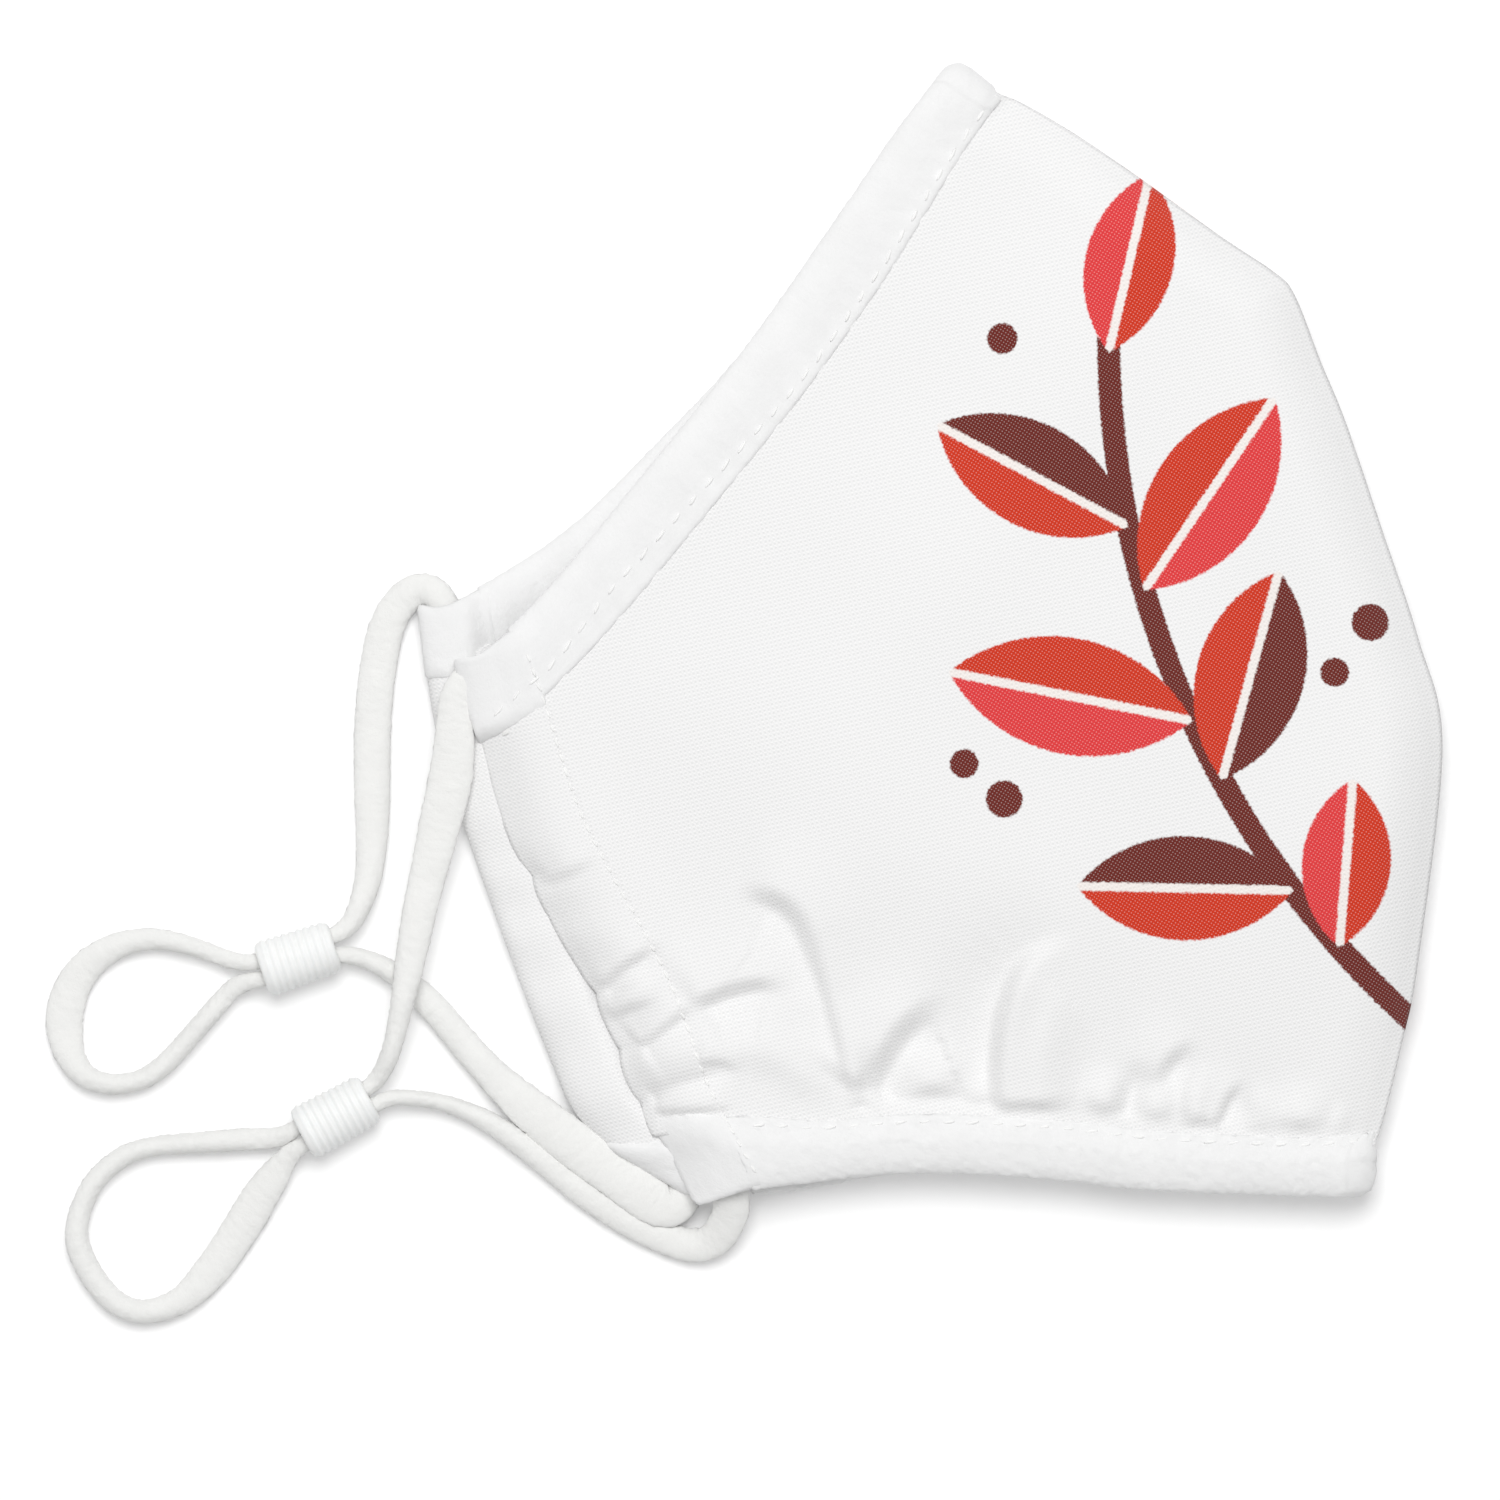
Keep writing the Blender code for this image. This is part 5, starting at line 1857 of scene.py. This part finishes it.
@dataclass
class NoseWire:
    """Soft metal strip inside the top hem, one arm in each half."""

    cloth: HalfCloth
    hold: Attachment
    width: float = 0.0034
    thickness: float = 0.0009
    arm: float = 0.045
    inset: float = 0.00315
    grid: tuple[int, int] = (61, 7)
    rim_radius: float = 0.0003

    def build(self, material: bpy.types.Material) -> bpy.types.Object:
        """Model the arm in one half.

        Args:
            material: Metal finish.

        Returns:
            The fastened piece.
        """
        cloth = self.cloth
        length = cloth.rim_length(Rim.TOP)
        s = np.linspace(self.inset - self.width / 2, self.inset + self.width / 2, self.grid[1])
        u, s = np.meshgrid(np.linspace(1 - self.arm / length, 1.0, self.grid[0]), s, indexing="ij")
        places = cloth.place(u, cloth.v_at(Rim.TOP, u, s), np.zeros_like(u))
        flat = np.stack([u * length, s], axis=-1) / MM
        name = f"{cloth.side.name.lower()}_nose_wire_arm"
        piece = cloth_piece(name, places, flat, self.thickness, rounded_rim(places, self.rim_radius),
                            material)
        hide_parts("nose_wire")
        self.hold.fasten(piece, True)
        return piece


# Free stretches of the cords: x, y, height of the underside and width, in millimetres
STRANDS: dict[Side, dict[str, Route]] = {
    Side.LEFT: {
        "upper": [
            (-60.2, -4.0, 1.2, 4.0), (-60.4, 0.6, 1.2, 4.0), (-61.3, 3.8, 1.0, 3.9),
            (-63.4, 5.5, 0.6, 4.0), (-65.9, 4.3, 0.3, 4.2), (-67.9, 1.3, 0.1, 4.4),
            (-69.1, -3.6, 0.0, 4.6), (-69.9, -11.1, 0.0, 4.6), (-70.0, -18.6, 0.0, 4.5),
            (-70.0, -24.9, 0.0, 4.1), (-70.4, -30.5, 0.2, 3.4), (-71.4, -34.2, 0.9, 2.9),
            (-72.9, -37.0, 1.7, 2.4)],
        "tail": [
            (-86.9, -41.5, 1.7, 2.1), (-90.1, -40.3, 0.9, 2.2), (-93.9, -39.1, 0.3, 2.4),
            (-97.6, -38.5, 0.0, 2.7), (-101.4, -39.2, 0.0, 3.2), (-104.6, -40.9, 0.0, 3.8),
            (-107.2, -43.8, 0.0, 4.4), (-108.6, -48.5, 0.0, 4.8), (-107.9, -53.0, 0.0, 3.8),
            (-106.1, -55.7, 0.0, 2.9), (-102.8, -56.8, 0.0, 2.6), (-98.9, -56.2, 0.0, 2.5),
            (-95.9, -54.2, 0.0, 2.6), (-92.2, -50.1, 0.3, 2.5), (-88.8, -46.2, 0.9, 2.5),
            (-86.4, -44.0, 1.7, 2.3)],
        "lower": [
            (-73.0, -40.6, 1.7, 2.2), (-70.8, -41.0, 1.0, 2.3), (-67.8, -42.5, 0.4, 2.7),
            (-65.2, -44.4, 0.1, 3.2), (-62.6, -46.8, 0.0, 3.6), (-59.2, -50.8, 0.1, 3.8),
            (-55.7, -54.8, 0.6, 4.0), (-51.5, -58.8, 1.1, 5.0), (-48.0, -61.7, 1.3, 5.6),
            (-44.2, -64.7, 1.3, 5.8), (-40.0, -67.6, 1.3, 5.9), (-37.2, -69.7, 1.3, 6.0),
            (-34.9, -71.3, 1.3, 6.0), (-33.2, -72.1, 1.3, 5.6), (-31.8, -71.9, 1.2, 5.0),
            (-30.9, -70.6, 1.1, 4.5), (-30.7, -68.7, 1.0, 4.2), (-31.2, -66.5, 0.9, 4.0),
            (-32.1, -64.4, 0.9, 4.0)],
    },
    Side.RIGHT: {
        "upper": [
            (-51.9, -12.6, 5.4, 4.0), (-53.2, -9.0, 5.3, 4.0), (-55.0, -6.5, 5.2, 4.0),
            (-57.2, -5.6, 5.1, 4.0), (-58.9, -6.9, 5.1, 4.0), (-59.6, -9.4, 5.1, 4.2),
            (-59.6, -12.7, 5.1, 4.8), (-59.8, -16.4, 4.9, 5.4), (-60.5, -20.2, 4.6, 5.5),
            (-61.5, -24.3, 4.4, 5.2), (-62.6, -29.2, 4.2, 4.7), (-63.9, -34.7, 4.2, 4.3),
            (-65.3, -42.0, 4.3, 3.7), (-66.2, -46.7, 3.9, 2.9), (-67.5, -52.4, 3.0, 2.4),
            (-69.0, -55.7, 2.0, 2.2)],
        "tail": [
            (-80.8, -63.2, 1.7, 2.2), (-82.6, -63.5, 1.4, 2.6), (-86.6, -63.7, 0.6, 2.8),
            (-92.4, -64.1, 0.1, 2.6), (-97.9, -64.6, 0.0, 2.4), (-101.6, -66.0, 0.0, 2.6),
            (-105.1, -69.3, 0.0, 2.6), (-107.0, -74.4, 0.0, 2.8), (-106.6, -77.8, 0.0, 3.0),
            (-104.2, -82.0, 0.0, 3.1), (-101.4, -84.6, 0.0, 3.0), (-98.3, -85.3, 0.0, 3.0),
            (-94.2, -84.0, 0.0, 3.4), (-90.8, -80.9, 0.0, 4.3), (-87.4, -76.3, 0.0, 4.6),
            (-84.1, -70.9, 0.4, 4.6), (-81.4, -67.0, 1.2, 3.4), (-80.2, -65.3, 1.7, 2.4)],
        "lower": [
            (-68.0, -58.4, 1.7, 2.0), (-64.2, -58.5, 0.6, 2.0), (-61.0, -59.1, 0.1, 2.1),
            (-58.2, -60.1, 0.0, 2.3), (-55.0, -61.7, 0.0, 2.7), (-49.3, -65.7, 0.0, 3.3),
            (-43.3, -70.4, 0.0, 3.7), (-37.3, -74.2, 0.0, 3.9), (-31.6, -76.6, 0.2, 4.2),
            (-28.7, -77.0, 0.7, 4.3), (-26.5, -75.6, 1.8, 4.4), (-25.1, -72.7, 3.4, 4.6),
            (-25.0, -70.5, 4.6, 4.6), (-26.4, -67.0, 5.4, 4.4), (-28.8, -63.4, 5.4, 4.2)],
    },
}
ADJUSTERS = {Side.LEFT: Adjuster(-79.2 * MM, -40.9 * MM, math.radians(18.5)),
             Side.RIGHT: Adjuster(-74.5 * MM, -60.7 * MM, math.radians(28.6))}

# Stitch rows: share along the hem or binding and distance in from its edge in millimetres, distances from
# the ear edge at which the rows start, and pitch and length of the binding's and casing's stitches
HEM_ROW = [(0.0, 7.4), (0.06, 6.0), (0.10, 6.4), (0.22, 5.4), (0.38, 6.2), (0.55, 7.2), (1.0, 7.4)]
BINDING_ROW = [(0.0, 6.6), (1.0, 6.6)]
HEM_ROW_START = {Side.LEFT: 0.0100, Side.RIGHT: 0.0018}
BINDING_ROW_START = 0.0100
BINDING_STITCH = (0.0030, 0.0017)
CASING_STITCH = (0.0019, 0.0014)


def add_cords(side: Side, finishes: Finishes) -> float:
    """Lay a half's ear cord and adjuster.

    Args:
        side: Which half.
        finishes: Materials.

    Returns:
        Length of the free cord in metres.
    """
    word = side.name.lower()
    cord, adjuster = EarCord(), ADJUSTERS[side]
    routes = {part: np.array(points) * MM for part, points in STRANDS[side].items()}
    first, second = adjuster.bore(1, cord.pinched), adjuster.bore(-1, cord.pinched)
    routes["upper"] = np.vstack([routes["upper"], first])
    routes["tail"] = np.vstack([first[1:], routes["tail"], second[:0:-1]])
    routes["lower"] = np.vstack([second[::-1], routes["lower"]])
    pinches = {"upper": (False, True), "tail": (True, True), "lower": (True, False)}
    total = 0.0
    for part, route in routes.items():
        piece, line = cord.stretch(f"{word}_cord_{part}", route, pinches[part], finishes.elastic)
        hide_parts(f"{word}_ear_cord")
        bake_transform(piece)
        length = cord.declare(piece, line)
        LOG.info("%s: %.1f mm", piece.name, length / MM)
        total += length
    adjuster.build(side, finishes.silicone)
    return total


def add_half(side: Side, finishes: Finishes) -> None:
    """Build one half of the mask with its strips, casing, stitching and wire.

    Args:
        side: Which half.
        finishes: Materials.
    """
    cloth, hold = HalfCloth(side), Attachment(side)
    word = side.name.lower()
    made = [ClothPanels(cloth, hold).build(Layer.OUTER, finishes.woven),
            ClothPanels(cloth, hold).build(Layer.LINING, finishes.lining)]
    casing = EarCasing(cloth, hold)
    made.append(casing.build(Cover.WOVEN, finishes.woven))
    strips = {}
    for rim, cover in ((Rim.TOP, Cover.HEM), (Rim.BOTTOM, Cover.BINDING)):
        turn = casing.build(cover, finishes.brushed)
        strips[rim] = EdgeStrip(cloth, hold, rim)
        made += [turn, strips[rim].build(finishes.brushed, turn)]
    made.append(NoseWire(cloth, hold).build(finishes.wire))
    row = StitchRow(cloth, hold)
    hem_line = row.along_rim(strips[Rim.TOP], casing, HEM_ROW, HEM_ROW_START[side])
    made.append(row.build(f"{word}_hem_stitches", hem_line, True, finishes.thread))
    binding_line = row.along_rim(strips[Rim.BOTTOM], casing, BINDING_ROW, BINDING_ROW_START)
    made.append(row.build(f"{word}_binding_stitches", binding_line, True, finishes.thread, *BINDING_STITCH))
    casing_line = row.along_casing(casing)
    made.append(row.build(f"{word}_casing_stitches", casing_line, False, finishes.thread, *CASING_STITCH))
    for piece in made:
        LOG.info("%s: %d faces", piece.name, len(piece.data.polygons))


@dataclass(frozen=True)
class Studio:
    """Camera straight above, a pale floor, a large soft light from the nose side and an even fill."""

    centre: Point = (-0.0227, -0.0149)
    frame_width: float = 0.1875
    lens: float = 400.0
    sensor: float = 36.0
    aim_height: float = 0.005
    far_clip: float = 20.0
    fill: float = 0.49
    key_power: float = 10.85
    key_size: float = 0.72
    key_place: tuple[float, float, float] = (-0.05, 0.40, 1.26)
    floor_colour: str = "#F4F4F4"
    floor_reach: float = 6.0
    floor_drop: float = 0.0002
    floor_glow: float = 0.16

    @staticmethod
    def seen(tree: Tree) -> Socket:
        """Tell the rays that show the background from those that light the object.

        Args:
            tree: Node tree of the floor or the world.

        Returns:
            One for camera, glossy and transmission rays, and zero for the others.
        """
        rays = add_node(tree, "ShaderNodeLightPath").outputs
        found = rays["Is Camera Ray"]
        for key in ("Is Glossy Ray", "Is Transmission Ray"):
            found = add_node(tree, "ShaderNodeMath", {0: found, 1: rays[key]}, operation="MAXIMUM").outputs[0]
        return found

    def build(self) -> None:
        """Make the camera, floor and lights."""
        scene = bpy.context.scene
        scene.view_settings.view_transform = "Standard"
        camera = bpy.data.cameras.new("camera")
        camera.lens, camera.sensor_width = self.lens, self.sensor
        camera.clip_end = self.far_clip
        shot = bpy.data.objects.new("camera", camera)
        shot.location = (*self.centre, self.aim_height + self.frame_width * self.lens / self.sensor)
        scene.collection.objects.link(shot)
        scene.camera = shot
        self.add_floor()
        self.add_world()
        light = bpy.data.lights.new("softbox", "AREA")
        light.shape, light.size, light.energy = "DISK", self.key_size, self.key_power
        lamp = bpy.data.objects.new("softbox", light)
        lamp.location = self.key_place
        aim = Vector((*self.centre, 0.0)) - lamp.location
        lamp.rotation_euler = aim.to_track_quat("-Z", "Y").to_euler()
        scene.collection.objects.link(lamp)

    def add_floor(self) -> None:
        """Pale floor that shows white round the shadow."""
        bm = bmesh.new()
        bmesh.ops.create_grid(bm, x_segments=1, y_segments=1, size=self.floor_reach)
        material = bpy.data.materials.new("floor_paper")
        material.use_nodes = True
        tree = material.node_tree
        tree.nodes.clear()
        paper = add_node(tree, "ShaderNodeBsdfDiffuse", {"Color": linear(self.floor_colour)}).outputs[0]
        gain = add_node(tree, "ShaderNodeMath", {0: self.seen(tree), 1: self.floor_glow},
                        operation="MULTIPLY").outputs[0]
        glow = add_node(tree, "ShaderNodeEmission", {"Color": WHITE, "Strength": gain}).outputs[0]
        both = add_node(tree, "ShaderNodeAddShader", {0: paper, 1: glow}).outputs[0]
        add_node(tree, "ShaderNodeOutputMaterial", {"Surface": both})
        floor = new_piece("floor", mesh_of(bm, "floor"), material)
        floor.location.z = -self.floor_drop

    def add_world(self) -> None:
        """Even fill light that the camera and reflections see as white."""
        world = bpy.data.worlds.new("studio")
        bpy.context.scene.world = world
        world.use_nodes = True
        tree = world.node_tree
        tree.nodes.clear()
        strength = add_node(tree, "ShaderNodeMapRange", {"Value": self.seen(tree), "To Min": self.fill,
                                                         "To Max": 1.0}).outputs[0]
        sky = add_node(tree, "ShaderNodeBackground", {"Color": WHITE, "Strength": strength}).outputs[0]
        add_node(tree, "ShaderNodeOutputWorld", {"Surface": sky})


def main() -> None:
    """Build the studio, the cords and the two halves, in that order."""
    logging.basicConfig(level=logging.INFO, format="%(message)s")
    Studio().build()
    finishes = Finishes()
    for side in Side:
        LOG.info("%s free cord: %.1f mm", side.name.lower(), add_cords(side, finishes) / MM)
    for side in Side:
        add_half(side, finishes)


if __name__ == "__main__":
    main()
